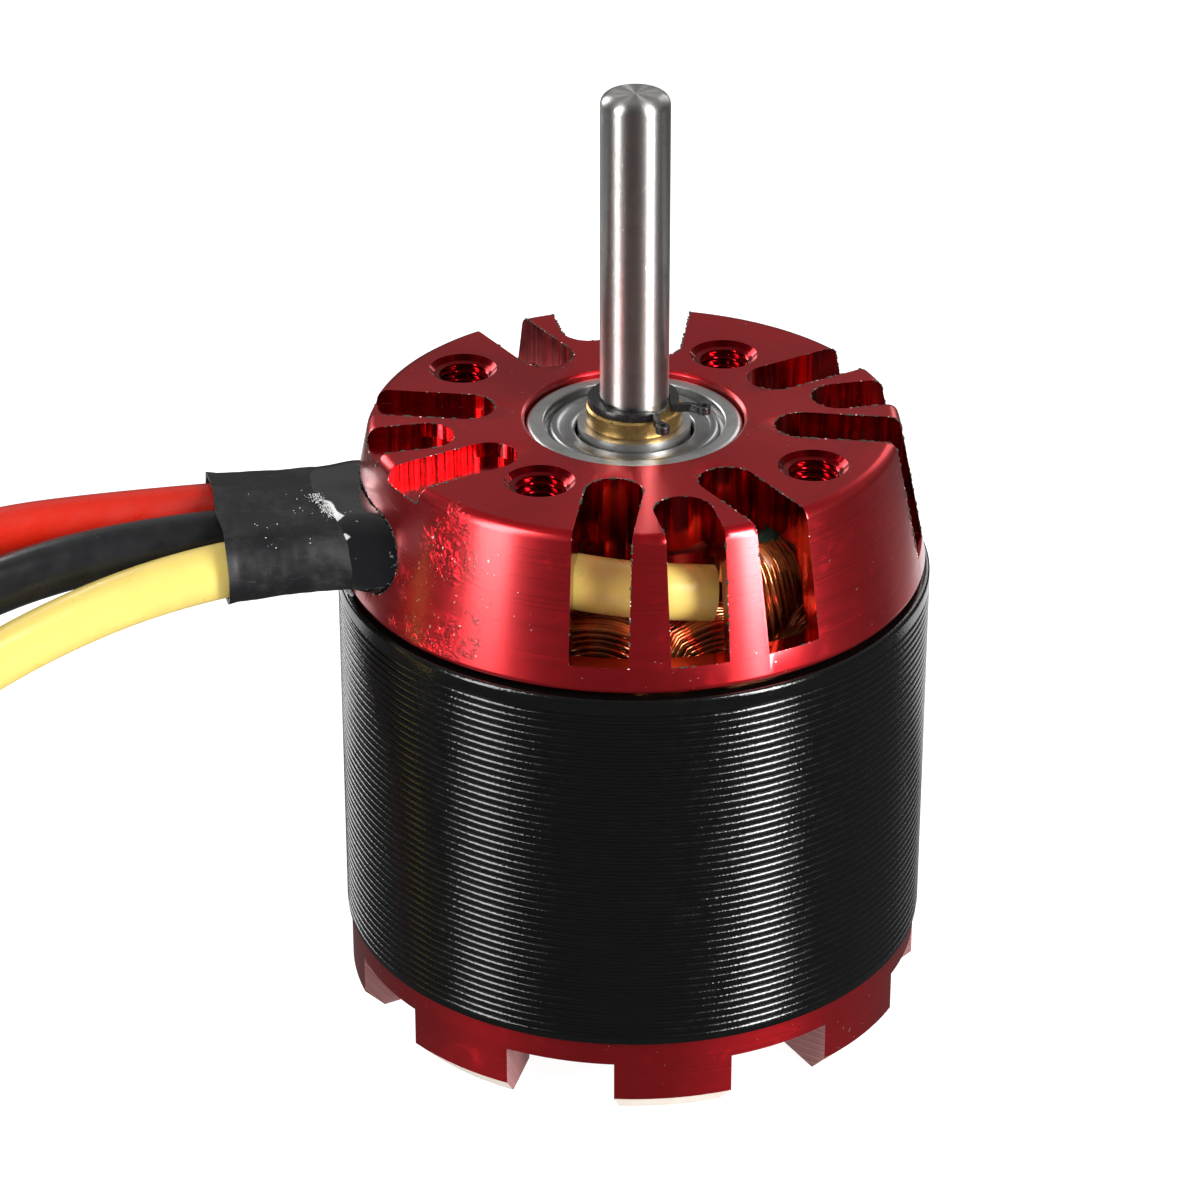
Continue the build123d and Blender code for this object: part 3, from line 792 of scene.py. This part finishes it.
def tapped_cutter(name, centre):
    """A threaded, countersunk hole: M4 with a 0.7 mm pitch."""
    core, crest, mouth = 0.00176, 0.00206, 0.00252
    cone_end = -0.00040
    sides, per_turn = 40, 10
    top, bottom = 0.0004, -0.0075
    steps = int((top - bottom) / THREAD_PITCH * per_turn)
    rings = []
    for i in range(steps + 1):
        z = bottom + (top - bottom) * i / steps
        ring = []
        for k in range(sides):
            phase = (z / THREAD_PITCH - k / sides) % 1.0
            tooth = min(1.0, 1.35 * abs(2 * phase - 1))
            reach = crest + (core - crest) * tooth
            if z > cone_end:
                reach = max(reach, mouth + z)
            turn = 2 * math.pi * k / sides
            ring.append(Vector((centre.x + reach * math.cos(turn),
                                centre.y + reach * math.sin(turn), z)))
        rings.append(ring)
    return solid(name, rings)


def window_cutter():
    """The opening for the leads: a flat-sided hole with round ends, along their heading."""
    width, height = WINDOW_SIZE
    outline = stadium((width - height) / 2, height / 2)
    rings = []
    for along in (-0.0054, 0.0066):
        base = LEAD_EXIT + LEAD_OUT * along
        rings.append([base + LEAD_ACROSS * u + Vector((0, 0, v)) for u, v in outline])
    return solid("window", rings)


CAP_MATERIALS = ["red_smeared", "edge", "fluted", "thread"]
SLOT_WALL_SLOT, THREAD_SLOT = 2, 3
WORN_TOP_Z = -0.001
WORN_WALL_RADIUS = 0.0185
CRUMB_SPACING = 0.00022


def make_front_cap():
    cap = lathe("front_cap_anodised", cap_outline(), 288)
    wear(cap, *CAP_MATERIALS)
    cutters = []
    for group in SLOT_GROUPS:
        depth = -BLIND_DEPTH if group == BLIND_GROUP else SLOT_FLOOR_Z
        for step, tip in ((-1, LONG_TIP), (0, SHORT_TIP), (1, LONG_TIP)):
            angle = group + step * SLOT_SPREAD
            cutters.append(slot_cutter(tip, angle, depth))
    cut(cap, cutters, SLOT_WALL_SLOT)
    cut(cap, [window_cutter()])
    break_edges(cap, 0.00024)
    holes = []
    for radius, angle in (WIDE_HOLES, NARROW_HOLES):
        for side in (0, 180):
            holes.append(tapped_cutter(f"tapped_{angle + side}", polar(radius, angle + side)))
    # the holes' cut faces take the darker red: painted shade inside the holes
    cut(cap, holes, THREAD_SLOT)
    finish_shading(cap)
    return piece(cap, "stator", CAP_MATERIALS, "red_anodised", "front_cap")


def worn_spots(cap, dice):
    """Points along the cap's outer sharp edges where it is knocked, with the edge's direction."""
    work = bmesh.new()
    work.from_mesh(cap.data)
    edges = []
    for edge in work.edges:
        if len(edge.link_faces) != 2 or edge.calc_face_angle(0.0) < math.radians(30):
            continue
        middle = (edge.verts[0].co + edge.verts[1].co) / 2
        outward = Vector((middle.x, middle.y, 0)).normalized()
        radius = Vector(middle[:2]).length
        sides = edge.link_faces
        top = middle.z > WORN_TOP_Z and any(face.normal.z > 0.7 for face in sides)
        wall = radius > WORN_WALL_RADIUS and any(face.normal.dot(outward) > 0.7 for face in sides)
        thread = any(face.material_index == THREAD_SLOT for face in sides)
        inside = radius < 0.0095 or middle.z < CAP_BASE_Z + 0.0004
        if (top or wall) and not thread and not inside:
            ends = sorted(tuple(round(c, 7) for c in vert.co) for vert in edge.verts)
            edges.append((Vector(ends[0]), Vector(ends[1])))
    work.free()
    edges.sort(key=lambda ends: tuple(ends[0]) + tuple(ends[1]))
    spots = []
    for start, end in edges:
        knocked = 0.5 + noise.noise(start * 210.0)
        share = min(1.0, max(0.05, 2.2 * knocked - 0.75))
        wanted = (end - start).length / CRUMB_SPACING * share
        for _ in range(int(wanted + dice.random())):
            spots.append((start.lerp(end, dice.random()), (end - start).normalized()))
    return spots


def make_edge_wear(cap):
    """Grime and bare metal where the slots' edges are knocked, as small flat crumbs."""
    dice = random.Random(31)
    crumbs = {"edge_grime": [], "edge_bare_metal": []}
    for place, along in worn_spots(cap, dice):
        name = "edge_grime" if dice.random() < 0.72 else "edge_bare_metal"
        size = dice.uniform(0.00002, 0.00005) * (2.6 if name == "edge_grime" else 1.0)
        turn = along.to_track_quat("X", "Z").to_matrix().to_4x4()
        shape = Matrix.Diagonal((size * dice.uniform(1.0, 2.2), size, size * 0.7, 1.0))
        crumbs[name].append(Matrix.Translation(place) @ turn @ shape)
    for name, places in crumbs.items():
        piece(make_crumbs(name, places, 1), "stator", [name], "red_anodised")


make_edge_wear(make_front_cap())


# ---------------- ribbed ring and rear bell
RIB_PITCH = 0.0006
RIB_CREST = 0.00017
RIB_DEPTH = 0.00016
RIB_BAND = 0.001
RING_BORE = 0.0202
RING_EDGE = 0.00030


def make_flux_ring():
    """The ring with its turned ribs: narrow crests and round grooves between them."""
    top, bottom = ring_high.z, ring_low.z
    outline = [(RING_BORE, top - 0.0002), (RING_BORE + 0.0002, top)]
    outline += arc((can_radius - RING_EDGE, top - RING_EDGE), RING_EDGE, 90, 0, 5)
    first, last = top - RIB_BAND, bottom + RIB_BAND * 0.5
    ribs = round((first - last) / RIB_PITCH)
    pitch = (first - last) / ribs
    groove = pitch - RIB_CREST
    radius = (groove ** 2 / 4 + RIB_DEPTH ** 2) / (2 * RIB_DEPTH)
    spread = math.degrees(math.asin(groove / 2 / radius))
    for k in range(ribs):
        centre = (can_radius - RIB_DEPTH + radius, first - k * pitch - RIB_CREST - groove / 2)
        outline.append((can_radius, first - k * pitch))
        outline += arc(centre, radius, 180 - spread, 180 + spread, 8)
    outline += [(can_radius, last), (can_radius - 0.00005, bottom), (RING_BORE, bottom)]
    ring = lathe("flux_ring_ribbed", outline, 320)
    return piece(ring, "rotor", ["black"], "black_ring", "flux_ring")


make_flux_ring()

BELL_TEETH = 8
NOTCH_WIDTH = 0.0081
NOTCH_ANGLE = -59.7
WEB_TOP, WEB_BOTTOM = -0.0383, -0.0420
VENT_RADIUS = 0.01215
GRUB_SCREW_Z = -0.04395
BELL_MATERIALS = ["red", "edge", "milled", "chamfer"]
BELL_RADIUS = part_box("rear_bell")[1].x
HUB_BOTTOM = -0.0459


def make_rear_bell():
    low = floor_z
    outline = [
        (0.0025, -0.0374), (0.0068, -0.0374), (0.0070, -0.0376), (0.0070, WEB_TOP),
        (0.0190, WEB_TOP), (0.0190, -0.0374), (RING_BORE, -0.0374), (RING_BORE, ring_low.z),
        (BELL_RADIUS - 0.0001, ring_low.z), (BELL_RADIUS, ring_low.z - 0.0001),
        (BELL_RADIUS, -0.0450), (0.0199, low), (0.0156, low), (0.0156, WEB_BOTTOM - 0.0004),
        (0.0152, WEB_BOTTOM), (0.0074, WEB_BOTTOM), (0.0070, WEB_BOTTOM - 0.0004),
        (0.0070, HUB_BOTTOM + 0.0003), (0.0067, HUB_BOTTOM), (0.0025, HUB_BOTTOM),
    ]
    bell = lathe("rear_bell_anodised", outline, 288)
    wear(bell, *BELL_MATERIALS)
    for face in bell.data.polygons:
        if face.center.z < -0.0452 and 0.0199 < Vector(face.center[:2]).length < BELL_RADIUS:
            face.material_index = 3
    cutters = []
    half = NOTCH_WIDTH / 2
    box = [(0.0146, -half), (0.0240, -half), (0.0240, half), (0.0146, half)]
    vent = [(VENT_RADIUS + x, y) for x, y in stadium(0.00075, 0.0025)]
    for k in range(BELL_TEETH):
        angle = NOTCH_ANGLE + 360 / BELL_TEETH * k
        cutters.append(prism(f"notch_{k}", box, angle, low - 0.002, WEB_BOTTOM))
        cutters.append(prism(f"vent_{k}", vent, angle, -0.0430, -0.0376))
    for angle in (NOTCH_ANGLE, NOTCH_ANGLE + 90):
        line = [polar(radius, angle, GRUB_SCREW_Z) for radius in (0.0020, 0.0090)]
        cutters.append(solid(f"grub_bore_{angle}", tube_rings(line, 0.0015, 40)))
    cut(bell, cutters, 2)
    break_edges(bell, 0.00010)
    finish_shading(bell)
    return piece(bell, "rotor", BELL_MATERIALS, "red_anodised", "rear_bell")


make_rear_bell()


# ---------------- wound copper
TOOTH_COUNT = 12
TOOTH_ANGLE = 21.0
TOOTH_HALF = 0.0017
STACK_TOP, STACK_BOTTOM = -0.0126, -0.0336
STRAND = 0.00018
LAYER = 0.00037


def coil_line(angle, radius, layer, lean, dice):
    """One closed turn of wire round a tooth, as a line whose ends meet inside the slot."""
    half = TOOTH_HALF + 0.0003 + layer * LAYER
    lift = 0.0009 + layer * LAYER
    top, bottom = STACK_TOP + lift, STACK_BOTTOM - lift
    crown = 0.0010 + 0.00010 * layer
    across, outward = polar(1.0, angle + 90), polar(1.0, angle)
    sway = lean + dice.uniform(-0.00008, 0.00008)
    shape = []
    for sign, level, bulge in ((1, top, crown), (-1, bottom, -crown)):
        for k in range(11):
            t = -1 + 2 * k / 10
            x = -sign * t * half
            rise = bulge * (1 - abs(t) ** 2.2) - (bulge * 0.9 if abs(t) == 1 else 0.0)
            shape.append((x, level + rise, sway * (1 - t ** 4)))
        shape.append((-sign * half * 1.02, level - math.copysign(0.0030, bulge), 0.0))
    shape.append(shape[0])
    return [outward * (radius + push) + across * x + Vector((0, 0, z)) for x, z, push in shape]


def make_windings():
    """Each phase's four coils, with only the strands that can be seen."""
    dice = random.Random(7)
    rows, inner_row, outer_row = 13, 0.0120, 0.0164
    for phase in range(3):
        lines = []
        for tooth in range(phase, TOOTH_COUNT, 3):
            angle = TOOTH_ANGLE + 360 / TOOTH_COUNT * tooth
            for row in range(rows):
                share = row / (rows - 1)
                radius = inner_row + (outer_row - inner_row) * share
                room = int((radius * math.tan(math.radians(15.0)) - TOOTH_HALF - 0.0005) / LAYER)
                first = 0 if row >= rows - 3 else max(0, room - 1)
                for layer in range(first, room + 1):
                    lines.append(coil_line(angle + dice.uniform(-0.3, 0.3), radius, layer,
                                           0.0009 * share, dice))
        coils = many_tubes(f"phase_{'abc'[phase]}_wound_wire", lines, STRAND, 7)
        piece(coils, "stator", ["copper"], "copper", f"phase_{'abc'[phase]}_windings")


make_windings()


def make_wire_tails():
    """Strands that rise from the coils to the soldered joint, and its varnished sleeve."""
    dice = random.Random(11)
    lines = []
    for k in range(16):
        angle = -57.5 + k
        radius = 0.0166 + 0.0003 * (k % 3)
        lean = dice.uniform(-1.2, 1.2)
        lines.append(smooth_line([
            polar(radius - 0.0004, angle + 3 + lean, -0.0112),
            polar(radius, angle + 1.5 + lean, -0.0092), polar(radius, angle, -0.0070),
            polar(radius - 0.0004, angle - 0.8, -0.0052),
            polar(radius - 0.0016, angle - 1.5, -0.0042)], 4))
    tails = many_tubes("phase_wire_tails", lines, STRAND, 7)
    piece(tails, "stator", ["copper"], "copper")
    route = [polar(0.0142, -66, -0.0052), polar(0.0152, -56, -0.0054), polar(0.0156, -46, -0.0062),
             polar(0.0158, -37, -0.0072), polar(0.0158, -32, -0.0079)]
    line = smooth_line(route, 8)
    rings = tube_rings(line, 0.0014, 32) + tube_rings(line[::-1], 0.00115, 32)
    sleeve = solid("varnished_joint_sleeve", rings, 50.0, loop=True)
    piece(sleeve, "stator", ["amber"], "amber_sleeve", "joint_sleeve")


make_wire_tails()


# ---------------- bearing shields
RACE_LAND, RACE_OUTER, RACE_EDGE, LAND_CHAMFER = 0.0066, 0.0079, 0.00045, 0.00008
BALL_CIRCLE, BALL_GROOVE = 0.00525, 0.00158
# (radius, depth below the bearing's face)
SHIELD_OUTLINE = [
    (0.00430, 0.00078), (0.00436, 0.00060), (0.00452, 0.00050), (0.00470, 0.00047),
    (0.00540, 0.00047), (0.00552, 0.00040), (0.00562, 0.00034), (0.00590, 0.00034),
    (0.00604, 0.00038), (0.00616, 0.00052), (0.00624, 0.00078), (0.00632, 0.00084),
    (0.00658, 0.00084), (0.00658, 0.00100), (0.00615, 0.00100), (0.00598, 0.00080),
    (0.00430, 0.00080),
]


def make_bearings():
    """Outer races with round edges, and pressed shields: rolled bead, flat, dished lip."""
    for side in ("front", "rear"):
        node = f"{side}_bearing_outer_race"
        low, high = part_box(node)
        corner = RACE_OUTER - RACE_EDGE
        outline = [(RACE_LAND, high.z - LAND_CHAMFER), (RACE_LAND + LAND_CHAMFER, high.z)]
        outline += arc((corner, high.z - RACE_EDGE), RACE_EDGE, 90, 0, 6)
        outline += arc((corner, low.z + RACE_EDGE), RACE_EDGE, 0, -90, 6)
        outline += [(RACE_LAND + LAND_CHAMFER, low.z), (RACE_LAND, low.z + LAND_CHAMFER)]
        outline += arc((BALL_CIRCLE, (low.z + high.z) / 2), BALL_GROOVE, -31, 31, 8)
        piece(lathe(f"{side}_outer_race_ground", outline, 160), "stator", ["bearing"],
              "bearing_steel", node)
        for level, up, place in ((high.z, 1, "top"), (low.z, -1, "under")):
            outline = [(radius, level - up * depth) for radius, depth in SHIELD_OUTLINE]
            made = lathe(f"{side}_shield_{place}", outline, 160, 50.0)
            nodes = [f"{side}_bearing_shields"] if place == "top" else []
            piece(made, "stator", ["shield"], "bearing_steel", *nodes)


make_bearings()


# ---------------- retaining clip
CLIP_GAP = -42.5
CLIP_RADIUS = 0.00292
# (radius, degrees from the gap's middle, width) from an arm's eye to where it joins the ring
CLIP_ARM = [(0.00485, 25.0, 0.00058), (0.0045, 25.5, 0.00050), (0.0041, 25.5, 0.00040),
            (0.0036, 22.0, 0.00042), (0.0031, 20.0, 0.00058)]
CLIP_EYE = (0.00525, 25.0)


def make_clip():
    """A stamped circlip: widest opposite its gap, with two slim arms that end in eyes."""
    low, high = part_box("retaining_clip")
    thickness = (high.z - low.z) * 0.78
    first, last = ([(polar(radius, CLIP_GAP + sign * offset), width)
                    for radius, offset, width in CLIP_ARM] for sign in (1, -1))
    join = 23.0
    line = first
    for k in range(1, 40):
        turn = join + (360 - 2 * join) * k / 40
        width = 0.00062 + 0.00034 * math.sin(math.pi * k / 40)
        line.append((polar(CLIP_RADIUS, CLIP_GAP + turn), width))
    line += last[::-1]
    rings = []
    for k, (point, width) in enumerate(line):
        before, after = line[max(k - 1, 0)][0], line[min(k + 1, len(line) - 1)][0]
        side = (after - before).normalized().cross(Vector((0, 0, 1)))
        rings.append([
            point + side * (u * width / 2) + Vector((0, 0, low.z + thickness * z))
            for u, z in ((-1, 0.12), (-0.9, 0.0), (0.9, 0.0), (1, 0.12), (1, 0.88), (0.9, 1.0),
                         (-0.9, 1.0), (-1, 0.88))])
    clip = solid("retaining_clip_stamped", rings, 35.0)
    eye, rim, edge, top = 0.00022, 0.00052, 0.00004, low.z + thickness
    outline = [(eye, low.z), (rim - edge, low.z), (rim, low.z + 0.00005),
               (rim, top - 0.00005), (rim - edge, top), (eye, top)]
    work = bmesh.new()
    work.from_mesh(clip.data)
    for sign in (1, -1):
        lug = lathe("lug", outline, 32, 35.0)
        radius, offset = CLIP_EYE
        lug.data.transform(Matrix.Translation(polar(radius, CLIP_GAP + sign * offset)))
        work.from_mesh(lug.data)
        bpy.data.objects.remove(lug)
    work.to_mesh(clip.data)
    work.free()
    shade(clip.data, 35.0)
    return piece(clip, "rotor", ["oxide"], "spring_steel", "retaining_clip")


make_clip()


# ---------------- lead sleeve and potting
def flat_section(width, height, samples, pinch=0.0):
    """A flattened sleeve's outline over three round leads, drawn in between them."""
    points = []
    straight, radius = (width - height) / 2, height / 2
    half_way = math.pi * radius + 2 * straight
    for k in range(samples):
        run = 2 * half_way * k / samples
        side = 1 if run < half_way else -1
        run %= half_way
        if run < straight:
            u, v = run, radius
        elif run < straight + math.pi * radius:
            a = (run - straight) / radius
            u, v = straight + radius * math.sin(a), radius * math.cos(a)
        else:
            u, v = half_way - run, -radius
        dip = 0.5 - 0.5 * math.cos(2 * math.pi * u / LEAD_SPACING)
        v *= 1 - pinch * dip * (u < 0.0045)
        points.append((side * u, side * v))
    return points


LEAD_SPACING = 0.00405
SLEEVE_SIZE = (0.0133, 0.0053)
SLEEVE_DROP = 0.00008
SLEEVE_PINCH = 0.03


def on_leads(along, across, height):
    """A point of the leads' frame, with its height from the middle of the sleeve."""
    return (LEAD_EXIT + LEAD_OUT * along + LEAD_ACROSS * across
            + Vector((0, 0, height - SLEEVE_DROP)))


def make_sleeve():
    samples, steps = 120, 60
    start, end, wall = -0.001, 0.0097, 0.00036
    rings = []
    outward_run = [(k / steps, 0.0) for k in range(steps + 1)]
    for share, inset in outward_run + [(part, wall) for part, _ in outward_run[::-1]]:
        flare = 0.00012 * max(0.0, (share - 0.93) / 0.07)
        size = [s - 2 * inset + 2 * flare for s in SLEEVE_SIZE]
        ring = []
        for u, v in flat_section(*size, samples, SLEEVE_PINCH):
            slant = -0.0003 * u / 0.0066 * max(0.0, share - 0.5) * 2
            along = start + (end - start) * share + slant
            sag = 0.0005 * share ** 2 * max(0.0, u / 0.0066)
            point = on_leads(along, u * (1 + 0.03 * share ** 2), v - sag)
            crumple = noise.noise(Vector((along * 420, u * 300, v * 200)))
            fine = noise.noise(Vector((along * 1500, u * 1100, v * 700)))
            outward = (LEAD_ACROSS * u * 0.25 + Vector((0, 0, v))).normalized()
            point += outward * (0.00008 * crumple + 0.00003 * fine)
            ragged = noise.noise(Vector((u * 260, v * 260, 3.0)))
            ring.append(point + LEAD_OUT * (0.00025 * ragged * share))
        rings.append(ring)
    made = solid("lead_sleeve_shrunk", rings, 50.0, loop=True)
    return piece(made, "stator", ["heat_shrink"], "heat_shrink", "lead_sleeve")


def froth_line(u):
    """Where the glue on the sleeve's top ends: nearer to the wall towards the front."""
    return 0.0023 - 0.235 * max(u, -0.0006)


def potting_reach(u, v):
    """How far the glue creeps along the sleeve: far on its top, little at the front."""
    top = min(1.0, max(0.0, v / 0.0022))
    lobes = noise.noise(Vector((u * 330, v * 420, 0.7)))
    return 0.0009 + (froth_line(u) - 0.0009) * top ** 2 + 0.0003 * lobes


POOL_MIDDLE, POOL_WIDTH = 0.0030, 0.0028


def make_potting():
    """A glossy plug of glue that fills the window and creeps along the sleeve."""
    samples, steps = 144, 40
    film = [size + 0.00007 for size in SLEEVE_SIZE]
    sleeve_outline = flat_section(*film, samples, SLEEVE_PINCH)
    rings = []
    for along in (-0.0034, -0.0028):
        rings.append([on_leads(along, u, v) for u, v in flat_section(*WINDOW_SIZE, samples)])
    for k in range(steps + 1):
        share = k / steps
        ring = []
        for u0, v0 in sleeve_outline:
            spread = (1 - share) ** 2
            grow = 0.11 if u0 > 0 else 0.06
            u = u0 * (1 + grow * spread)
            pool = math.exp(-((u0 - POOL_MIDDLE) / POOL_WIDTH) ** 2)
            v = v0 * (1 + (0.04 + 0.10 * pool if v0 > 0 else 0.14) * spread)
            if v0 > 0:
                v += 0.00036 * pool * math.sin(math.pi * share ** 1.3)
            wall = wall_radius(LEAD_EXIT.z + v) - 0.00035 * (1 - share)
            along_wall = distance_to_radius(LEAD_EXIT + LEAD_ACROSS * u, wall)
            reach = max(potting_reach(u0, v0), along_wall + 0.0005)
            along = along_wall + (reach - along_wall) * share ** 1.2
            ripple = noise.noise(Vector((u * 420, v * 420, along * 420)))
            thick = 1 + (0.03 * ripple + 0.02) * 4 * share * (1 - share) - 0.02 * share ** 6
            ring.append(on_leads(along, u * thick, v * thick))
        rings.append(ring)
    rings.append([on_leads(-0.0004, u, v) for u, v in flat_section(0.0128, 0.0048, samples)])
    made = solid("exit_potting_glue", rings, 60.0)
    return piece(made, "stator", ["potting"], "potting", "exit_potting")


def make_froth():
    """Bubbles along the glue's edge on the sleeve, and crumbs of dried glue below it."""
    dice = random.Random(23)
    spots = []
    for _ in range(420):
        u = -0.0002 + 0.0056 * dice.random() ** 1.3
        v = SLEEVE_SIZE[1] / 2 * (1 - max(0.0, u / 0.0068) ** 6)
        along = froth_line(u) + dice.gauss(0.0001, 0.00036 - 0.045 * u)
        spots.append((on_leads(along, u, v + 0.00004), dice.uniform(0.00002, 0.00006)))
    for _ in range(26):
        u = dice.uniform(-0.001, 0.0062)
        along = dice.uniform(0.0008, 0.0075)
        spots.append((on_leads(along, u, SLEEVE_SIZE[1] / 2 * math.sqrt(1 - (u / 0.0068) ** 6)),
                      dice.uniform(0.00002, 0.00005)))
    for _ in range(60):
        place = polar(0.0213 + dice.uniform(0, 0.0004), dice.gauss(-165.0, 1.6),
                      dice.gauss(-0.0111, 0.0003))
        size = dice.uniform(0.00008, 0.00022)
        place.z = max(place.z, ring_high.z + 1.3 * size)
        spots.append((place, size))
    places = []
    for place, size in spots:
        squeeze = [size * dice.uniform(0.7, 1.2) for _ in range(3)]
        places.append(Matrix.Translation(place) @ Matrix.Diagonal((*squeeze, 1.0)))
    return piece(make_crumbs("glue_froth", places, 2), "stator", ["froth"], "potting")


def wall_radius(height):
    """Radius of the cap's tapered side wall at a height."""
    share = min(max(height / CAP_BASE_Z, 0.0), 1.0)
    return PLATE_RADIUS + (CAP_BASE_RADIUS - PLATE_RADIUS) * share


def distance_to_radius(start, radius):
    """How far along the leads' heading a point meets a cylinder about Z."""
    b = start.x * LEAD_OUT.x + start.y * LEAD_OUT.y
    c = start.x ** 2 + start.y ** 2 - radius ** 2
    return -b + math.sqrt(max(b * b - c, 0.0))


make_sleeve()
make_potting()
make_froth()


# ---------------- leads and connectors
for colour, cord_piece in cords.items():
    piece(cord_piece, "stator", [f"{colour}_silicone"], f"{colour}_silicone", f"lead_{colour}")
    piece(connectors[colour], "stator", ["gold"], "gold", f"connector_{colour}")

# ---------------- carried-over CAD nodes
CAD_MATERIALS = {
    "shaft": "shaft",
    "front_bearing_inner_race": "bearing", "rear_bearing_inner_race": "bearing",
    "front_bearing_balls": "ball", "rear_bearing_balls": "ball",
    "front_bearing_cage": "brass", "rear_bearing_cage": "brass",
    "brass_collar": "brass", "rear_spacer": "brass",
    "grub_screws": "oxide", "stator_core": "lamination",
    "stator_insulator_front": "insulator", "stator_insulator_rear": "insulator",
    "magnets": "magnet", "yellow_phase_lead": "yellow_silicone",
    "red_phase_lead": "red_silicone", "black_phase_lead": "black_silicone",
}
for node, name in CAD_MATERIALS.items():
    wear(frame["nodes"][node], name)


# ---------------- floor, lights
FLOOR_HALF = 2.0
BACKDROP_RADIUS = 3.0
SHEET_RADIUS = 0.105


def staged(made, glow, seen_by, base=0.0):
    """Mark a white glowing piece of the studio, and say which kinds of rays see it."""
    s = Shader(f"white_{made.name}", (base, base, base), 0.8, Specular_IOR_Level=0.0,
               Emission_Color=(1.0, 1.0, 1.0, 1.0), Emission_Strength=glow)
    made.data.materials.append(s.material)
    for rays in ("camera", "diffuse", "glossy", "transmission", "shadow"):
        setattr(made, f"visible_{rays}", rays in seen_by)
    return s


def make_stage():
    """A white floor and backdrop; reflections see a bright sheet close round the motor only."""
    corners = [(x * FLOOR_HALF, y * FLOOR_HALF, floor_z)
               for x, y in ((-1, -1), (1, -1), (1, 1), (-1, 1))]
    floor = mesh_object("floor", corners, [(0, 1, 2, 3)])
    staged(floor, 0.95, ("camera", "diffuse"), 0.30)

    rings = []
    for degrees in range(-84, 85, 12):
        level = math.radians(degrees)
        rings.append([polar(BACKDROP_RADIUS * math.cos(level), 15 * k,
                            BACKDROP_RADIUS * math.sin(level)) for k in range(24)])
    staged(mesh_object("backdrop", *skin(rings)), 1.0, ("camera",))

    rim = [polar(SHEET_RADIUS, 5 * k, floor_z + 0.00001) for k in range(72)]
    sheet = mesh_object("reflected_sheet", rim, [tuple(range(72))])
    s = staged(sheet, 1.0, ("glossy",))
    s.to("Emission Strength", s.step(s.split(s.place)["Y"], 0.026, 0.038, 0.08, 1.15))


def area_light(name, azimuth, elevation, distance, width, height, radiance, glossy=True):
    """A softbox that faces the motor. Azimuth is from the front, towards +X."""
    data = bpy.data.lights.new(name, "AREA")
    data.shape = "RECTANGLE"
    data.size, data.size_y = width, height
    data.energy = radiance * math.pi * width * height
    light = bpy.data.objects.new(name, data)
    a, e = math.radians(azimuth), math.radians(elevation)
    out = Vector((math.sin(a) * math.cos(e), -math.cos(a) * math.cos(e), math.sin(e)))
    light.location = Vector((0, 0, -0.015)) + out * distance
    light.rotation_mode = "QUATERNION"
    light.rotation_quaternion = out.to_track_quat("Z", "Y")
    light.visible_glossy = glossy
    scene.collection.objects.link(light)


def make_lights():
    area_light("left_softbox", -58, 20, 0.75, 0.22, 0.76, 10.5)
    area_light("right_softbox", 50, 20, 0.75, 0.20, 0.76, 25.0)
    area_light("back_left_softbox", -138, 22, 0.9, 0.30, 0.45, 6.0)
    area_light("back_right_softbox", 152, 22, 0.9, 0.30, 0.45, 2.2)
    area_light("top_softbox", 10, 72, 0.9, 0.7, 0.7, 1.2, glossy=False)
    world = bpy.data.worlds.new("studio")
    world.use_nodes = True
    sky = Nodes(world.node_tree)
    _, y, z = sky.split(sky.add("ShaderNodeTexCoord").outputs["Generated"])
    bright = sky.math("MULTIPLY", sky.step(z, 0.05, 0.55), sky.step(y, -0.5, 0.9))
    background = sky.tree.nodes["Background"].inputs
    sky.feed(background["Strength"], sky.step(bright, 0.0, 1.0, 0.06, 0.36))
    sky.feed(background["Color"], (1, 1, 1, 1))
    scene.world = world
    scene.view_settings.view_transform = "Standard"


make_stage()
make_lights()

bpy.context.view_layer.update()
